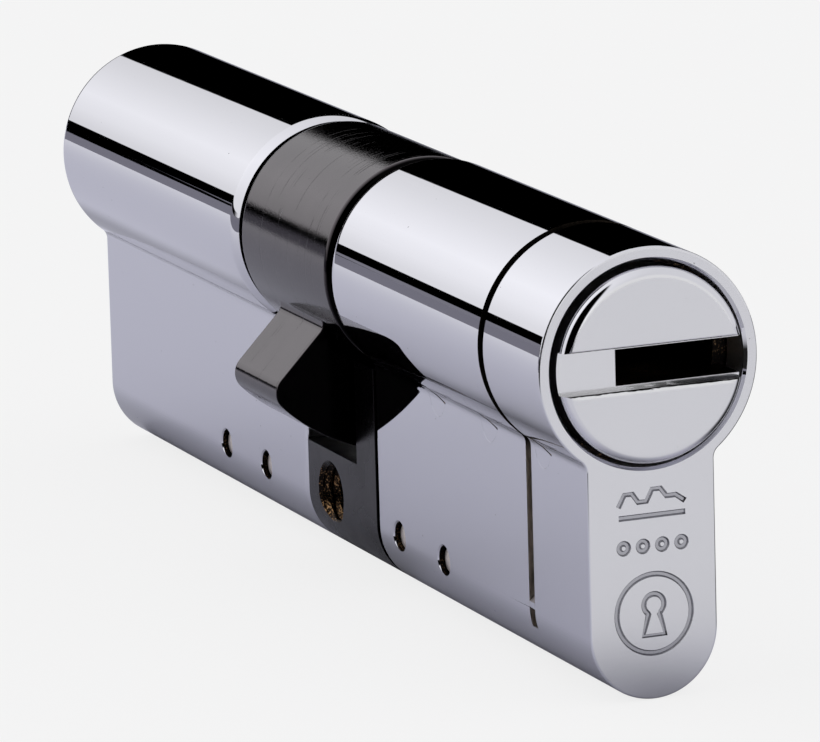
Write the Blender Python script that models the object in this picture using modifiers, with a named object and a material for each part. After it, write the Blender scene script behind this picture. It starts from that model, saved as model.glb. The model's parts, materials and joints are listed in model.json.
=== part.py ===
"""A double euro profile cylinder with its cam, both plugs, pin stacks and clutch.

X runs across the profile, Y along it with the key face towards -Y, and Z up. The origin is the
centre of the fixing screw's hole. Lengths are in metres. Each half is laid out by its distance
from the centre towards its own key face, and the back half is turned half a turn about Z.
"""

import math

import bmesh
import bpy
from mathutils import Matrix, Vector

MM = 0.001

# Profile
BARREL_RADIUS = 8.5 * MM
FLANK_HALF_WIDTH = 4.95 * MM
FLANK_FILLET = 1.0 * MM
AXIS_HEIGHT = 19.1 * MM  # barrel axis above the fixing screw
BOTTOM_DEPTH = 5.4 * MM  # lowest point below the fixing screw
HALF_LENGTH = 50.0 * MM  # centre to either key face

# Cam
CAM_HALF_WIDTH = 9.0 * MM
CAM_RECESS = 0.15 * MM  # cam ring below the barrel's surface
CAM_END_GAP = 0.8 * MM  # cam ring to either body
LUG_TIP_RADIUS = 15.2 * MM
LUG_FRONT = 5.0 * MM  # in front of the centre
LUG_BACK = 4.0 * MM  # behind the centre
LUG_ROOT_HALF = 3.3 * MM
LUG_TIP_HALF = 5.0 * MM
LUG_CORNER = 1.5 * MM
LUG_REST_ANGLE = math.radians(30.0)  # from straight down, towards -X
LUG_CLEARANCE = 0.45 * MM

# Plugs
PLUG_RADIUS = 6.3 * MM
PLUG_CLEARANCE = 0.2 * MM
HEAD_FLANGE = 0.85 * MM  # head beyond the plug's own radius
HEAD_CLEARANCE = 0.35 * MM
HEAD_DEPTH = 3.0 * MM  # head behind the key face
HEAD_PROUD = 1.0 * MM  # head in front of the key face
HEAD_CHAMFER = 0.5 * MM
CHANNEL_HEIGHT = 3.1 * MM
CHANNEL_DEPTH = 1.0 * MM
KEYWAY_HEIGHT = 2.65 * MM
KEYWAY_LEFT = 2.6 * MM  # closed side, from the axis
KEYWAY_PAST_PINS = 6.0 * MM
JOURNAL_RADIUS = 6.1 * MM  # inner end, inside the cam ring
JOURNAL_CLEARANCE = 0.3 * MM
PLUG_END = 2.2 * MM  # from the centre
TIP_HOLE_RADIUS = 1.3 * MM

# Retaining clips
CLIP_GAP = 0.3 * MM
CLIP_THICKNESS = 0.8 * MM
CLIP_HEIGHT = 1.4 * MM
CLIP_FIT = 0.15 * MM
GROOVE_DEPTH = 0.7 * MM  # below the journal
CLIP_OPENING = math.radians(50.0)

# Clutch
WEB_HALF_WIDTH = 1.6 * MM  # the cam ring's slotted web
WEB_BORE = 3.3 * MM
COUPLER_CORE = 2.9 * MM
COUPLER_HALF_SPAN = 5.7 * MM
COUPLER_THICKNESS = 2.6 * MM
COUPLER_LENGTH = 5.1 * MM
COUPLER_FIT = 0.3 * MM
COUPLER_TRAVEL = 3.3 * MM
COUPLER_INNER = 1.3 * MM  # past the centre while it drives the cam
COUPLER_GAP = 0.6 * MM
COUPLER_POCKET = 1.5 * MM

# Pin stacks
PIN_COUNT = 5
FIRST_PIN = 7.9 * MM  # from the key face
PIN_PITCH = 4.95 * MM
PIN_RADIUS = 1.35 * MM
PIN_CLEARANCE = 0.15 * MM
TIP_RADIUS = 0.75 * MM
TIP_CLEARANCE = 0.15 * MM
KEY_PIN_BODY = 1.8 * MM
KEY_PIN_TRAVEL = 1.3 * MM
TIP_STEPS = (1, 3, 2, 0, 2)  # how deep each tip stands in its key dimple
TIP_STEP = 0.3 * MM
PIN_END_GAP = 0.1 * MM
DRIVER_LENGTH = 4.6 * MM
DRIVER_CHAMFER = 0.25 * MM
SPRING_WIRE = 0.17 * MM
SPRING_RADIUS = 1.2 * MM
SPRING_TURNS = 3

# Chamber plugs, counted from the key face
DISC_CHAMBERS = (1, 3)
DISC_RADIUS = 2.6 * MM
DISC_DEPTH = 1.3 * MM
DISC_CLEARANCE = 0.2 * MM
FLUSH_GAP = 0.08 * MM
SIDE_CHAMBERS = (0, 2, 4)
SIDE_ANGLE = math.radians(50.0)  # below the horizontal, on the left of the key face
SIDE_RADIUS = 1.75 * MM
SIDE_CLEARANCE = 0.2 * MM
SIDE_FLOOR = 0.4 * MM  # plug above the bore

# Connecting bar
BRIDGE_END_GAP = 0.3 * MM
POST_THICKNESS = 3.9 * MM
SHELF_END = 5.0 * MM  # the back body's lower part, from the centre
TONGUE_HALF_WIDTH = 2.9 * MM
TONGUE_TOP = 2.4 * MM  # from the fixing screw
TONGUE_BOTTOM = -3.4 * MM
TONGUE_PAST_PIN = 1.7 * MM
SLOT_CLEARANCE = 0.3 * MM
SCREW_HOLE_RADIUS = 2.1 * MM
SCREW_CHAMFER = 0.5 * MM
CROSS_PIN_RADIUS = 0.95 * MM
CROSS_PIN_CLEARANCE = 0.2 * MM
CROSS_PIN_HEIGHT = -0.5 * MM
CROSS_PIN_INSET = 0.6 * MM  # end below the flank
INNER_CROSS_PIN = 4.1 * MM  # from the body's inner end
OUTER_CROSS_PIN = 0.35 * MM  # beyond the innermost pin stack

# Snap slit round the front body
SLIT_DISTANCE = 10.1 * MM  # from the key face
SLIT_WIDTH = 1.0 * MM
SLIT_DEPTH = 1.25 * MM
SLIT_BOTTOM = -1.9 * MM

# Facets
BARREL_STEPS = 48
BORE_STEPS = 48
PIN_STEPS = 12
FILLET_STEPS = 3
SPRING_STEPS = 6  # points in a turn
PAST = 2.0 * MM  # how far a cutter reaches past what it cuts

BODY_END = CAM_HALF_WIDTH + CAM_END_GAP
CAM_RADIUS = BARREL_RADIUS - CAM_RECESS
SWEEP_RADIUS = BARREL_RADIUS + LUG_CLEARANCE  # what stays clear of the cam ring
BORE_RADIUS = PLUG_RADIUS + PLUG_CLEARANCE
HEAD_RADIUS = PLUG_RADIUS + HEAD_FLANGE
CHAMBER_RADIUS = PIN_RADIUS + PIN_CLEARANCE
CROSS_HOLE_RADIUS = CROSS_PIN_RADIUS + CROSS_PIN_CLEARANCE
PIN_PLACES = [HALF_LENGTH - FIRST_PIN - n * PIN_PITCH for n in range(PIN_COUNT)]
CROSS_PLACES = (BODY_END + INNER_CROSS_PIN, PIN_PLACES[-1] + OUTER_CROSS_PIN)
TONGUE_END = CROSS_PLACES[1] + TONGUE_PAST_PIN
NOTCH_FLOOR = AXIS_HEIGHT - LUG_TIP_RADIUS - LUG_CLEARANCE
SPRING_FLOOR = TONGUE_TOP + PIN_END_GAP
DRIVER_TOP = AXIS_HEIGHT - BORE_RADIUS - PIN_END_GAP
DRIVER_BOTTOM = DRIVER_TOP - DRIVER_LENGTH
KEY_PIN_SHOULDER = PIN_END_GAP - PLUG_RADIUS + KEY_PIN_BODY
POCKET_END = COUPLER_LENGTH - COUPLER_INNER + COUPLER_TRAVEL + COUPLER_FIT
HALVES = {"front": 0.0, "back": math.pi}
AXIS = Vector((0.0, 0.0, AXIS_HEIGHT))
OUTWARD = Vector((0.0, -1.0, 0.0))


def clear_scene():
    for obj in list(bpy.data.objects):
        bpy.data.objects.remove(obj)


def new_collection(name):
    collection = bpy.data.collections.new(name)
    bpy.context.scene.collection.children.link(collection)
    return collection


def material(name, colour, roughness, metallic=1.0):
    made = bpy.data.materials.new(name)
    made.use_nodes = True
    shader = made.node_tree.nodes["Principled BSDF"]
    shader.inputs["Base Color"].default_value = (*colour, 1.0)
    shader.inputs["Roughness"].default_value = roughness
    shader.inputs["Metallic"].default_value = metallic
    return made


clear_scene()
PARTS = new_collection("euro_cylinder")
CUTTERS = new_collection("cutters")
CHROME = material("polished_chrome", (0.80, 0.80, 0.84), 0.06)
GUNMETAL = material("gunmetal_steel", (0.16, 0.15, 0.16), 0.38)
BRASS = material("brass", (0.78, 0.60, 0.28), 0.30)
BRIGHT_STEEL = material("bright_steel", (0.62, 0.62, 0.64), 0.28)
SPRING_STEEL = material("spring_steel", (0.45, 0.45, 0.47), 0.35)


# Building blocks


def add(name, mesh, matrix=None, finish=None):
    """Adds a sub-part when it has a finish, and otherwise a cutter."""
    obj = bpy.data.objects.new(name, mesh)
    obj.matrix_world = matrix or Matrix()
    if finish:
        mesh.materials.append(finish)
        PARTS.objects.link(obj)
    else:
        CUTTERS.objects.link(obj)
        obj.hide_render = True
        obj.display_type = "WIRE"
    return obj


def cut(obj, *cutters, operation="DIFFERENCE"):
    for cutter in cutters:
        modifier = obj.modifiers.new(cutter.name, "BOOLEAN")
        modifier.operation = operation
        modifier.solver = "MANIFOLD"
        modifier.object = cutter
    return obj


def along(origin, direction):
    """The matrix that puts local Z along a direction."""
    return Matrix.Translation(origin) @ direction.to_track_quat("Z", "Y").to_matrix().to_4x4()


def half_turn(turn):
    return Matrix.Rotation(turn, 4, "Z")


def turned(name, profile, matrix, steps, finish=None):
    """A turned shape from (radius, height) points that run down its outer side."""
    mesh = bpy.data.meshes.new(name)
    count = len(profile)
    edges = [(n, n + 1) for n in range(count - 1)]
    if profile[0][0] > 0.0:
        edges.append((count - 1, 0))
    mesh.from_pydata([(radius, 0.0, height) for radius, height in profile], edges, [])
    obj = add(name, mesh, matrix, finish)
    screw = obj.modifiers.new("turn", "SCREW")
    screw.axis = "Z"
    screw.steps = steps
    screw.render_steps = steps
    screw.use_merge_vertices = True
    screw.merge_threshold = 0.000001
    screw.use_smooth_shade = False
    return obj


def drum(name, radius, start, end, matrix=None, steps=PIN_STEPS, finish=None):
    """A plain cylinder between two points."""
    direction = end - start
    mesh = bpy.data.meshes.new(name)
    shape = bmesh.new()
    bmesh.ops.create_cone(
        shape,
        cap_ends=True,
        segments=steps,
        radius1=radius,
        radius2=radius,
        depth=direction.length,
    )
    shape.to_mesh(mesh)
    shape.free()
    return add(name, mesh, (matrix or Matrix()) @ along((start + end) / 2, direction), finish)


def block(name, low, high, matrix=None):
    mesh = bpy.data.meshes.new(name)
    shape = bmesh.new()
    bmesh.ops.create_cube(shape, size=1.0)
    size = Vector(high) - Vector(low)
    bmesh.ops.scale(shape, vec=size, verts=shape.verts)
    bmesh.ops.translate(shape, vec=(Vector(high) + Vector(low)) / 2, verts=shape.verts)
    shape.to_mesh(mesh)
    shape.free()
    return add(name, mesh, matrix)


def plate(name, outlines, near, far, matrix=None, finish=None):
    """Outlines in X and Z, filled, from one distance from the centre to a further one."""
    curve = bpy.data.curves.new(name, "CURVE")
    curve.dimensions = "2D"
    curve.fill_mode = "BOTH"
    curve.extrude = (far - near) / 2
    for outline in outlines:
        spline = curve.splines.new("POLY")
        spline.points.add(len(outline) - 1)
        for point, (x, z) in zip(spline.points, outline):
            point.co = (x, z, 0.0, 1.0)
        spline.use_cyclic_u = True
    upright = Matrix.Rotation(math.pi / 2, 4, "X")
    place = Matrix.Translation(OUTWARD * (far + near) / 2)
    return solid_from_curve(name, curve, (matrix or Matrix()) @ place @ upright, finish)


def solid_from_curve(name, curve, matrix, finish):
    """Makes a curve's surface a mesh with its caps welded."""
    helper = bpy.data.objects.new(name, curve)
    bpy.context.scene.collection.objects.link(helper)
    graph = bpy.context.evaluated_depsgraph_get()
    mesh = bpy.data.meshes.new_from_object(helper.evaluated_get(graph))
    bpy.data.objects.remove(helper)
    shape = bmesh.new()
    shape.from_mesh(mesh)
    bmesh.ops.remove_doubles(shape, verts=shape.verts, dist=0.000001)
    bmesh.ops.recalc_face_normals(shape, faces=shape.faces)
    shape.to_mesh(mesh)
    shape.free()
    mesh.name = name
    return add(name, mesh, matrix, finish)


def arc(centre, radius, start, end, steps):
    """Points on an arc, both ends included."""
    turns = [start + (end - start) * n / steps for n in range(steps + 1)]
    return [(centre[0] + radius * math.cos(a), centre[1] + radius * math.sin(a)) for a in turns]


def profile_outline(inset=0.0):
    """The euro profile, counterclockwise from the left of its round bottom."""
    width = FLANK_HALF_WIDTH - inset
    fillet = FLANK_FILLET + inset
    barrel = BARREL_RADIUS - inset
    reach = width + fillet
    drop = math.sqrt((barrel + fillet) ** 2 - reach**2)
    tangent = math.atan2(-drop, reach)
    low = FLANK_HALF_WIDTH - BOTTOM_DEPTH
    high = AXIS_HEIGHT - drop
    right = arc((reach, high), fillet, math.pi, math.pi + tangent, FILLET_STEPS)
    left = [(-x, z) for x, z in reversed(right)]
    bottom = arc((0.0, low), width, math.pi, math.tau, BARREL_STEPS // 3)
    top = arc((0.0, AXIS_HEIGHT), barrel, tangent, math.pi - tangent, BARREL_STEPS)
    return bottom + right + top[1:-1] + left


# Bodies


def bore_cutter(half, turn):
    """The plug's bore with the wider seat for its head."""
    seat = HALF_LENGTH - HEAD_DEPTH - HEAD_CLEARANCE
    profile = [
        (0.0, HALF_LENGTH + PAST),
        (HEAD_RADIUS + HEAD_CLEARANCE, HALF_LENGTH + PAST),
        (HEAD_RADIUS + HEAD_CLEARANCE, seat),
        (BORE_RADIUS, seat),
        (BORE_RADIUS, BODY_END - PAST),
        (0.0, BODY_END - PAST),
    ]
    return turned(f"{half}_bore", profile, half_turn(turn) @ along(AXIS, OUTWARD), BORE_STEPS)


def chamber_cutters(half, turn):
    """The pin chambers, open to the plug's bore, and the seats of the wide chamber plugs."""
    made = []
    for n, place in enumerate(PIN_PLACES):
        centre = OUTWARD * place
        last = n == PIN_COUNT - 1
        floor = TONGUE_TOP - PAST if last else -BOTTOM_DEPTH - PAST
        ends = centre + Vector((0, 0, AXIS_HEIGHT)), centre + Vector((0, 0, floor))
        made.append(drum(f"{half}_chamber_{n + 1}", CHAMBER_RADIUS, *ends, half_turn(turn)))
        if n in DISC_CHAMBERS:
            seat = Vector((0, 0, -BOTTOM_DEPTH + DISC_DEPTH))
            under = Vector((0, 0, -BOTTOM_DEPTH - PAST))
            radius = DISC_RADIUS + DISC_CLEARANCE
            name = f"{half}_disc_seat_{n + 1}"
            made.append(
                drum(name, radius, centre + seat, centre + under, half_turn(turn), 2 * PIN_STEPS)
            )
    return made


def side_direction():
    return Vector((-math.cos(SIDE_ANGLE), 0.0, -math.sin(SIDE_ANGLE)))


def side_line(n, start):
    """A loading hole's axis, from a distance from the plug's axis to beyond the fillet."""
    past = BARREL_RADIUS + FLANK_FILLET + SIDE_RADIUS
    place = AXIS + OUTWARD * PIN_PLACES[n]
    return place + side_direction() * start, place + side_direction() * past


def side_cutters(half, turn):
    """The loading holes in the fillet on the left of the key face."""
    made = []
    for n in SIDE_CHAMBERS:
        start, end = side_line(n, PLUG_RADIUS)
        radius = SIDE_RADIUS + SIDE_CLEARANCE
        made.append(drum(f"{half}_side_hole_{n + 1}", radius, start, end, half_turn(turn)))
    return made


def tongue_slot(half, turn):
    low = (-TONGUE_HALF_WIDTH - SLOT_CLEARANCE, -TONGUE_END - SLOT_CLEARANCE)
    high = (TONGUE_HALF_WIDTH + SLOT_CLEARANCE, 0.0)
    bottom, top = TONGUE_BOTTOM - SLOT_CLEARANCE, TONGUE_TOP + SLOT_CLEARANCE
    return block(f"{half}_slot", (*low, bottom), (*high, top), half_turn(turn))


def cross_holes(half, turn):
    made = []
    for n, place in enumerate(CROSS_PLACES):
        centre = OUTWARD * place + Vector((0, 0, CROSS_PIN_HEIGHT))
        reach = Vector((FLANK_HALF_WIDTH + PAST, 0, 0))
        ends = centre - reach, centre + reach
        made.append(drum(f"{half}_cross_hole_{n + 1}", CROSS_HOLE_RADIUS, *ends, half_turn(turn)))
    return made


def snap_slit():
    """A frame that cuts in from the outside and leaves the core."""
    wide, high = BARREL_RADIUS + PAST, AXIS_HEIGHT + BARREL_RADIUS + PAST
    around = [(-wide, SLIT_BOTTOM), (wide, SLIT_BOTTOM), (wide, high), (-wide, high)]
    far = HALF_LENGTH - SLIT_DISTANCE
    slab = plate("snap_slit", [around], far - SLIT_WIDTH, far)
    core = plate("slit_core", [profile_outline(SLIT_DEPTH)], far - SLIT_WIDTH - PAST, far + PAST)
    return cut(slab, core)


def cam_clearance(name, near, far):
    """Room for the cam ring in the lower part of the profile."""
    return drum(
        name,
        SWEEP_RADIUS,
        AXIS + OUTWARD * near,
        AXIS + OUTWARD * far,
        steps=BORE_STEPS,
    )


def body(half, turn):
    """One half of the housing: the profile with its bore, chambers, slot and cross holes."""
    near = SHELF_END if half == "back" else BODY_END
    made = plate(f"{half}_body", [profile_outline()], near, HALF_LENGTH, half_turn(turn), CHROME)
    if half == "back":
        cut(made, cam_clearance("shelf_clearance", -BODY_END, 0.0))
    else:
        cut(made, snap_slit())
    cut(made, bore_cutter(half, turn), tongue_slot(half, turn))
    cut(made, *chamber_cutters(half, turn), *side_cutters(half, turn))
    cut(made, *cross_holes(half, turn))
    return made


# Connecting bar and its pins


def connecting_bar():
    """The bridge under the cam, with a tongue into each body."""
    front = BODY_END - BRIDGE_END_GAP
    back = SHELF_END - BRIDGE_END_GAP
    made = plate("connecting_bar", [profile_outline()], -back, front, finish=GUNMETAL)
    cut(made, cam_clearance("bridge_clearance", -back - PAST, front + PAST))
    wide = FLANK_HALF_WIDTH + PAST
    notch_front = front - POST_THICKNESS
    notch_top = AXIS_HEIGHT
    cut(made, block("notch", (-wide, -notch_front, NOTCH_FLOOR), (wide, back + PAST, notch_top)))
    low = (-TONGUE_HALF_WIDTH, -TONGUE_END, TONGUE_BOTTOM)
    high = (TONGUE_HALF_WIDTH, TONGUE_END, TONGUE_TOP)
    cut(made, block("tongue", low, high), operation="UNION")
    cut(made, screw_hole())
    for half, turn in HALVES.items():
        cut(made, *cross_holes(f"{half}_bar", turn))
    return made


def screw_hole():
    """The fixing screw's hole, chamfered at both flanks."""
    wide, inner = SCREW_HOLE_RADIUS + SCREW_CHAMFER, FLANK_HALF_WIDTH - SCREW_CHAMFER
    profile = [
        (0.0, FLANK_HALF_WIDTH + PAST),
        (wide, FLANK_HALF_WIDTH + PAST),
        (wide, FLANK_HALF_WIDTH),
        (SCREW_HOLE_RADIUS, inner),
        (SCREW_HOLE_RADIUS, -inner),
        (wide, -FLANK_HALF_WIDTH),
        (wide, -FLANK_HALF_WIDTH - PAST),
        (0.0, -FLANK_HALF_WIDTH - PAST),
    ]
    matrix = along(Vector((0, 0, 0)), Vector((1, 0, 0)))
    return turned("screw_hole", profile, matrix, 2 * PIN_STEPS)


def cross_pins():
    for half, turn in HALVES.items():
        for n, place in enumerate(CROSS_PLACES):
            centre = OUTWARD * place + Vector((0, 0, CROSS_PIN_HEIGHT))
            reach = Vector((FLANK_HALF_WIDTH - CROSS_PIN_INSET, 0, 0))
            drum(
                f"{half}_cross_pin_{n + 1}",
                CROSS_PIN_RADIUS,
                centre - reach,
                centre + reach,
                half_turn(turn),
                finish=BRIGHT_STEEL,
            )


# Cam


def lug_outline():
    """The lug pointing straight down: flared flanks, round corners and an arc about the axis."""
    root = CAM_RADIUS - (CAM_RADIUS - JOURNAL_RADIUS - JOURNAL_CLEARANCE) / 2
    flare = math.asin((LUG_TIP_HALF - LUG_CORNER) / (LUG_TIP_RADIUS - LUG_CORNER))
    corner = LUG_TIP_RADIUS - LUG_CORNER
    centre = (corner * math.sin(flare), -corner * math.cos(flare))
    slope = math.atan2(LUG_TIP_HALF - LUG_ROOT_HALF, LUG_TIP_RADIUS - CAM_RADIUS)
    tip = arc((0.0, 0.0), LUG_TIP_RADIUS, -math.pi / 2, -math.pi / 2 + flare, 8)
    side = arc(centre, LUG_CORNER, -math.pi / 2 + flare, slope, FILLET_STEPS)
    right = tip[:-1] + side + [(LUG_ROOT_HALF, -root)]
    left = [(-x, z) for x, z in reversed(right[1:])]
    return left + right


def cam():
    """The ring that carries the lug, with a slotted web for the couplers inside."""
    bore = JOURNAL_RADIUS + JOURNAL_CLEARANCE
    recess = JOURNAL_RADIUS - GROOVE_DEPTH + CLIP_FIT + CLIP_HEIGHT + CLIP_GAP
    floor = BODY_END - CLIP_GAP - CLIP_THICKNESS - CLIP_GAP
    outer = [(CAM_RADIUS, CAM_HALF_WIDTH), (CAM_RADIUS, -CAM_HALF_WIDTH)]
    lower = [(recess, -CAM_HALF_WIDTH), (recess, -floor), (bore, -floor), (bore, -WEB_HALF_WIDTH)]
    web = [(WEB_BORE, -WEB_HALF_WIDTH), (WEB_BORE, WEB_HALF_WIDTH)]
    upper = [(radius, -height) for radius, height in reversed(lower)]
    matrix = along(AXIS, OUTWARD)
    made = turned("cam", outer + lower + web + upper, matrix, BORE_STEPS, GUNMETAL)
    lean = Matrix.Translation(AXIS) @ Matrix.Rotation(LUG_REST_ANGLE, 4, "Y")
    cut(made, plate("lug", [lug_outline()], -LUG_BACK, LUG_FRONT, lean), operation="UNION")
    reach = COUPLER_HALF_SPAN + COUPLER_FIT
    slot = COUPLER_THICKNESS / 2 + COUPLER_FIT / 2
    low = (-reach, -WEB_HALF_WIDTH - COUPLER_FIT, AXIS_HEIGHT - slot)
    high = (reach, WEB_HALF_WIDTH + COUPLER_FIT, AXIS_HEIGHT + slot)
    return cut(made, block("web_slots", low, high))


# Plugs, clips and clutch


def plug(half, turn):
    """The key plug: head, keyway, pin chambers, clip groove and the slot for its coupler."""
    groove = BODY_END - CLIP_GAP + CLIP_FIT
    groove_end = BODY_END - CLIP_GAP - CLIP_THICKNESS - CLIP_FIT
    face = HALF_LENGTH + HEAD_PROUD
    seat = HALF_LENGTH - HEAD_DEPTH
    profile = [
        (0.0, face),
        (HEAD_RADIUS - HEAD_CHAMFER, face),
        (HEAD_RADIUS, face - HEAD_CHAMFER),
        (HEAD_RADIUS, seat),
        (PLUG_RADIUS, seat),
        (PLUG_RADIUS, groove),
        (JOURNAL_RADIUS - GROOVE_DEPTH, groove),
        (JOURNAL_RADIUS - GROOVE_DEPTH, groove_end),
        (JOURNAL_RADIUS, groove_end),
        (JOURNAL_RADIUS, PLUG_END),
        (0.0, PLUG_END),
    ]
    matrix = half_turn(turn) @ along(AXIS, OUTWARD)
    made = turned(f"{half}_plug", profile, matrix, BORE_STEPS, CHROME)
    return cut(made, *plug_cutters(half, turn))


def plug_cutters(half, turn):
    """The face channel, keyway, chambers, key-tip hole and the room for the coupler."""
    place = half_turn(turn)
    face = HALF_LENGTH + HEAD_PROUD
    wide = HEAD_RADIUS + PAST
    high = CHANNEL_HEIGHT / 2
    near, far = (-wide, -face - PAST), (wide, CHANNEL_DEPTH - face)
    channel = axis_block(f"{half}_channel", near, far, high, place)
    end = PIN_PLACES[-1] - KEYWAY_PAST_PINS
    high = KEYWAY_HEIGHT / 2
    keyway = axis_block(f"{half}_keyway", (-KEYWAY_LEFT, -face - PAST), (wide, -end), high, place)
    high = (COUPLER_THICKNESS + COUPLER_FIT) / 2
    reach = JOURNAL_RADIUS + PAST
    slot = axis_block(f"{half}_coupler_slot", (-reach, -POCKET_END), (reach, 0.0), high, place)
    core = (AXIS + OUTWARD * POCKET_END, AXIS + OUTWARD * (PLUG_END - PAST))
    pocket = drum(f"{half}_pocket", COUPLER_CORE + COUPLER_FIT, *core, place, 2 * PIN_STEPS)
    hole = (AXIS + OUTWARD * (end + PAST), AXIS + OUTWARD * (POCKET_END - PAST))
    tip = drum(f"{half}_tip_hole", TIP_HOLE_RADIUS, *hole, place)
    return [channel, keyway, slot, pocket, tip, *plug_chambers(half, place)]


def axis_block(name, near, far, half_height, matrix):
    """A block between two corners in X and Y, centred on the barrel's axis in height."""
    low, high = AXIS_HEIGHT - half_height, AXIS_HEIGHT + half_height
    return block(name, (*near, low), (*far, high), matrix)


def plug_chambers(half, matrix):
    """Stepped chambers: each key pin's shoulder stops short of the keyway."""
    step = KEY_PIN_SHOULDER + KEY_PIN_TRAVEL + PIN_END_GAP
    profile = [
        (0.0, 0.0),
        (TIP_RADIUS + TIP_CLEARANCE, 0.0),
        (TIP_RADIUS + TIP_CLEARANCE, step),
        (CHAMBER_RADIUS, step),
        (CHAMBER_RADIUS, -PLUG_RADIUS - PAST),
        (0.0, -PLUG_RADIUS - PAST),
    ]
    made = []
    for n, place in enumerate(PIN_PLACES):
        where = matrix @ Matrix.Translation(AXIS + OUTWARD * place)
        made.append(turned(f"{half}_plug_chamber_{n + 1}", profile, where, PIN_STEPS))
    return made


def clip(half, turn):
    """The open ring in the plug's groove that holds it in its body."""
    inner = JOURNAL_RADIUS - GROOVE_DEPTH + CLIP_FIT
    start, end = CLIP_OPENING / 2 - math.pi / 2, 1.5 * math.pi - CLIP_OPENING / 2
    centre = (0.0, 0.0)
    outline = arc(centre, inner + CLIP_HEIGHT, start, end, BORE_STEPS // 2)
    outline += arc(centre, inner, end, start, BORE_STEPS // 2)
    far = BODY_END - CLIP_GAP
    matrix = half_turn(turn) @ Matrix.Translation(AXIS)
    return plate(f"{half}_clip", [outline], far - CLIP_THICKNESS, far, matrix, SPRING_STEEL)


def coupler(half, turn, inner):
    """A round core with two wings, from its inner end towards its own key face."""
    place = half_turn(turn)
    outer = inner + COUPLER_LENGTH
    ends = (AXIS + OUTWARD * inner, AXIS + OUTWARD * outer)
    name = f"{half}_coupler"
    made = drum(name, COUPLER_CORE, *ends, place, 2 * PIN_STEPS, BRIGHT_STEEL)
    near, far = (-COUPLER_HALF_SPAN, -outer), (COUPLER_HALF_SPAN, -inner)
    wings = axis_block(f"{half}_wings", near, far, COUPLER_THICKNESS / 2, place)
    cut(made, wings, operation="UNION")
    ends = (AXIS + OUTWARD * (inner - PAST), AXIS + OUTWARD * (inner + COUPLER_POCKET))
    return cut(made, drum(f"{half}_spring_pocket", SPRING_RADIUS + COUPLER_FIT, *ends, place))


def clutch():
    """Two couplers: the front one joins the cam to the front plug, the back one stands clear."""
    coupler("front", HALVES["front"], -COUPLER_INNER)
    coupler("back", HALVES["back"], COUPLER_INNER + COUPLER_GAP)
    low = COUPLER_INNER - COUPLER_POCKET + PIN_END_GAP
    high = COUPLER_INNER + COUPLER_GAP + COUPLER_POCKET - PIN_END_GAP
    spring("clutch_spring", along(AXIS - OUTWARD * low, -OUTWARD), high - low)


# Pin stacks


def spring(name, matrix, length):
    """A coil of round wire standing on the matrix's origin."""
    curve = bpy.data.curves.new(name, "CURVE")
    curve.dimensions = "3D"
    curve.bevel_depth = SPRING_WIRE
    curve.bevel_resolution = 2
    curve.use_fill_caps = True
    spline = curve.splines.new("POLY")
    count = SPRING_TURNS * SPRING_STEPS
    spline.points.add(count)
    radius = SPRING_RADIUS - SPRING_WIRE
    rise = length - 2 * SPRING_WIRE
    for n, point in enumerate(spline.points):
        turn = math.tau * n / SPRING_STEPS
        height = SPRING_WIRE + rise * n / count
        point.co = (radius * math.cos(turn), radius * math.sin(turn), height, 1.0)
    return solid_from_curve(name, curve, matrix, SPRING_STEEL)


def key_pin(half, turn, n):
    """A shouldered pin at the shear line, its tip standing in the keyway."""
    end = PIN_END_GAP - PLUG_RADIUS
    tip = PIN_END_GAP - KEYWAY_HEIGHT / 2 + TIP_STEPS[n] * TIP_STEP
    bevel = TIP_RADIUS / 2
    profile = [
        (0.0, tip),
        (TIP_RADIUS - bevel, tip),
        (TIP_RADIUS, tip - bevel),
        (TIP_RADIUS, KEY_PIN_SHOULDER),
        (PIN_RADIUS, KEY_PIN_SHOULDER - PIN_RADIUS + TIP_RADIUS),
        (PIN_RADIUS, end + DRIVER_CHAMFER),
        (PIN_RADIUS - DRIVER_CHAMFER, end),
        (0.0, end),
    ]
    matrix = half_turn(turn) @ Matrix.Translation(AXIS + OUTWARD * PIN_PLACES[n])
    return turned(f"{half}_key_pin_{n + 1}", profile, matrix, PIN_STEPS, BRASS)


def driver_pin(half, turn, n):
    """A plain pin in the body, up to the shear line, chamfered at both ends."""
    narrow = PIN_RADIUS - DRIVER_CHAMFER
    profile = [
        (0.0, DRIVER_TOP),
        (narrow, DRIVER_TOP),
        (PIN_RADIUS, DRIVER_TOP - DRIVER_CHAMFER),
        (PIN_RADIUS, DRIVER_BOTTOM + DRIVER_CHAMFER),
        (narrow, DRIVER_BOTTOM),
        (0.0, DRIVER_BOTTOM),
    ]
    matrix = half_turn(turn) @ Matrix.Translation(OUTWARD * PIN_PLACES[n])
    return turned(f"{half}_driver_pin_{n + 1}", profile, matrix, PIN_STEPS, BRIGHT_STEEL)


def pin_stack(half, turn, n):
    key_pin(half, turn, n)
    driver_pin(half, turn, n)
    place = half_turn(turn) @ Matrix.Translation(OUTWARD * PIN_PLACES[n])
    floor = Matrix.Translation((0.0, 0.0, SPRING_FLOOR))
    length = DRIVER_BOTTOM - PIN_END_GAP - SPRING_FLOOR
    spring(f"{half}_pin_spring_{n + 1}", place @ floor, length)


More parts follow.
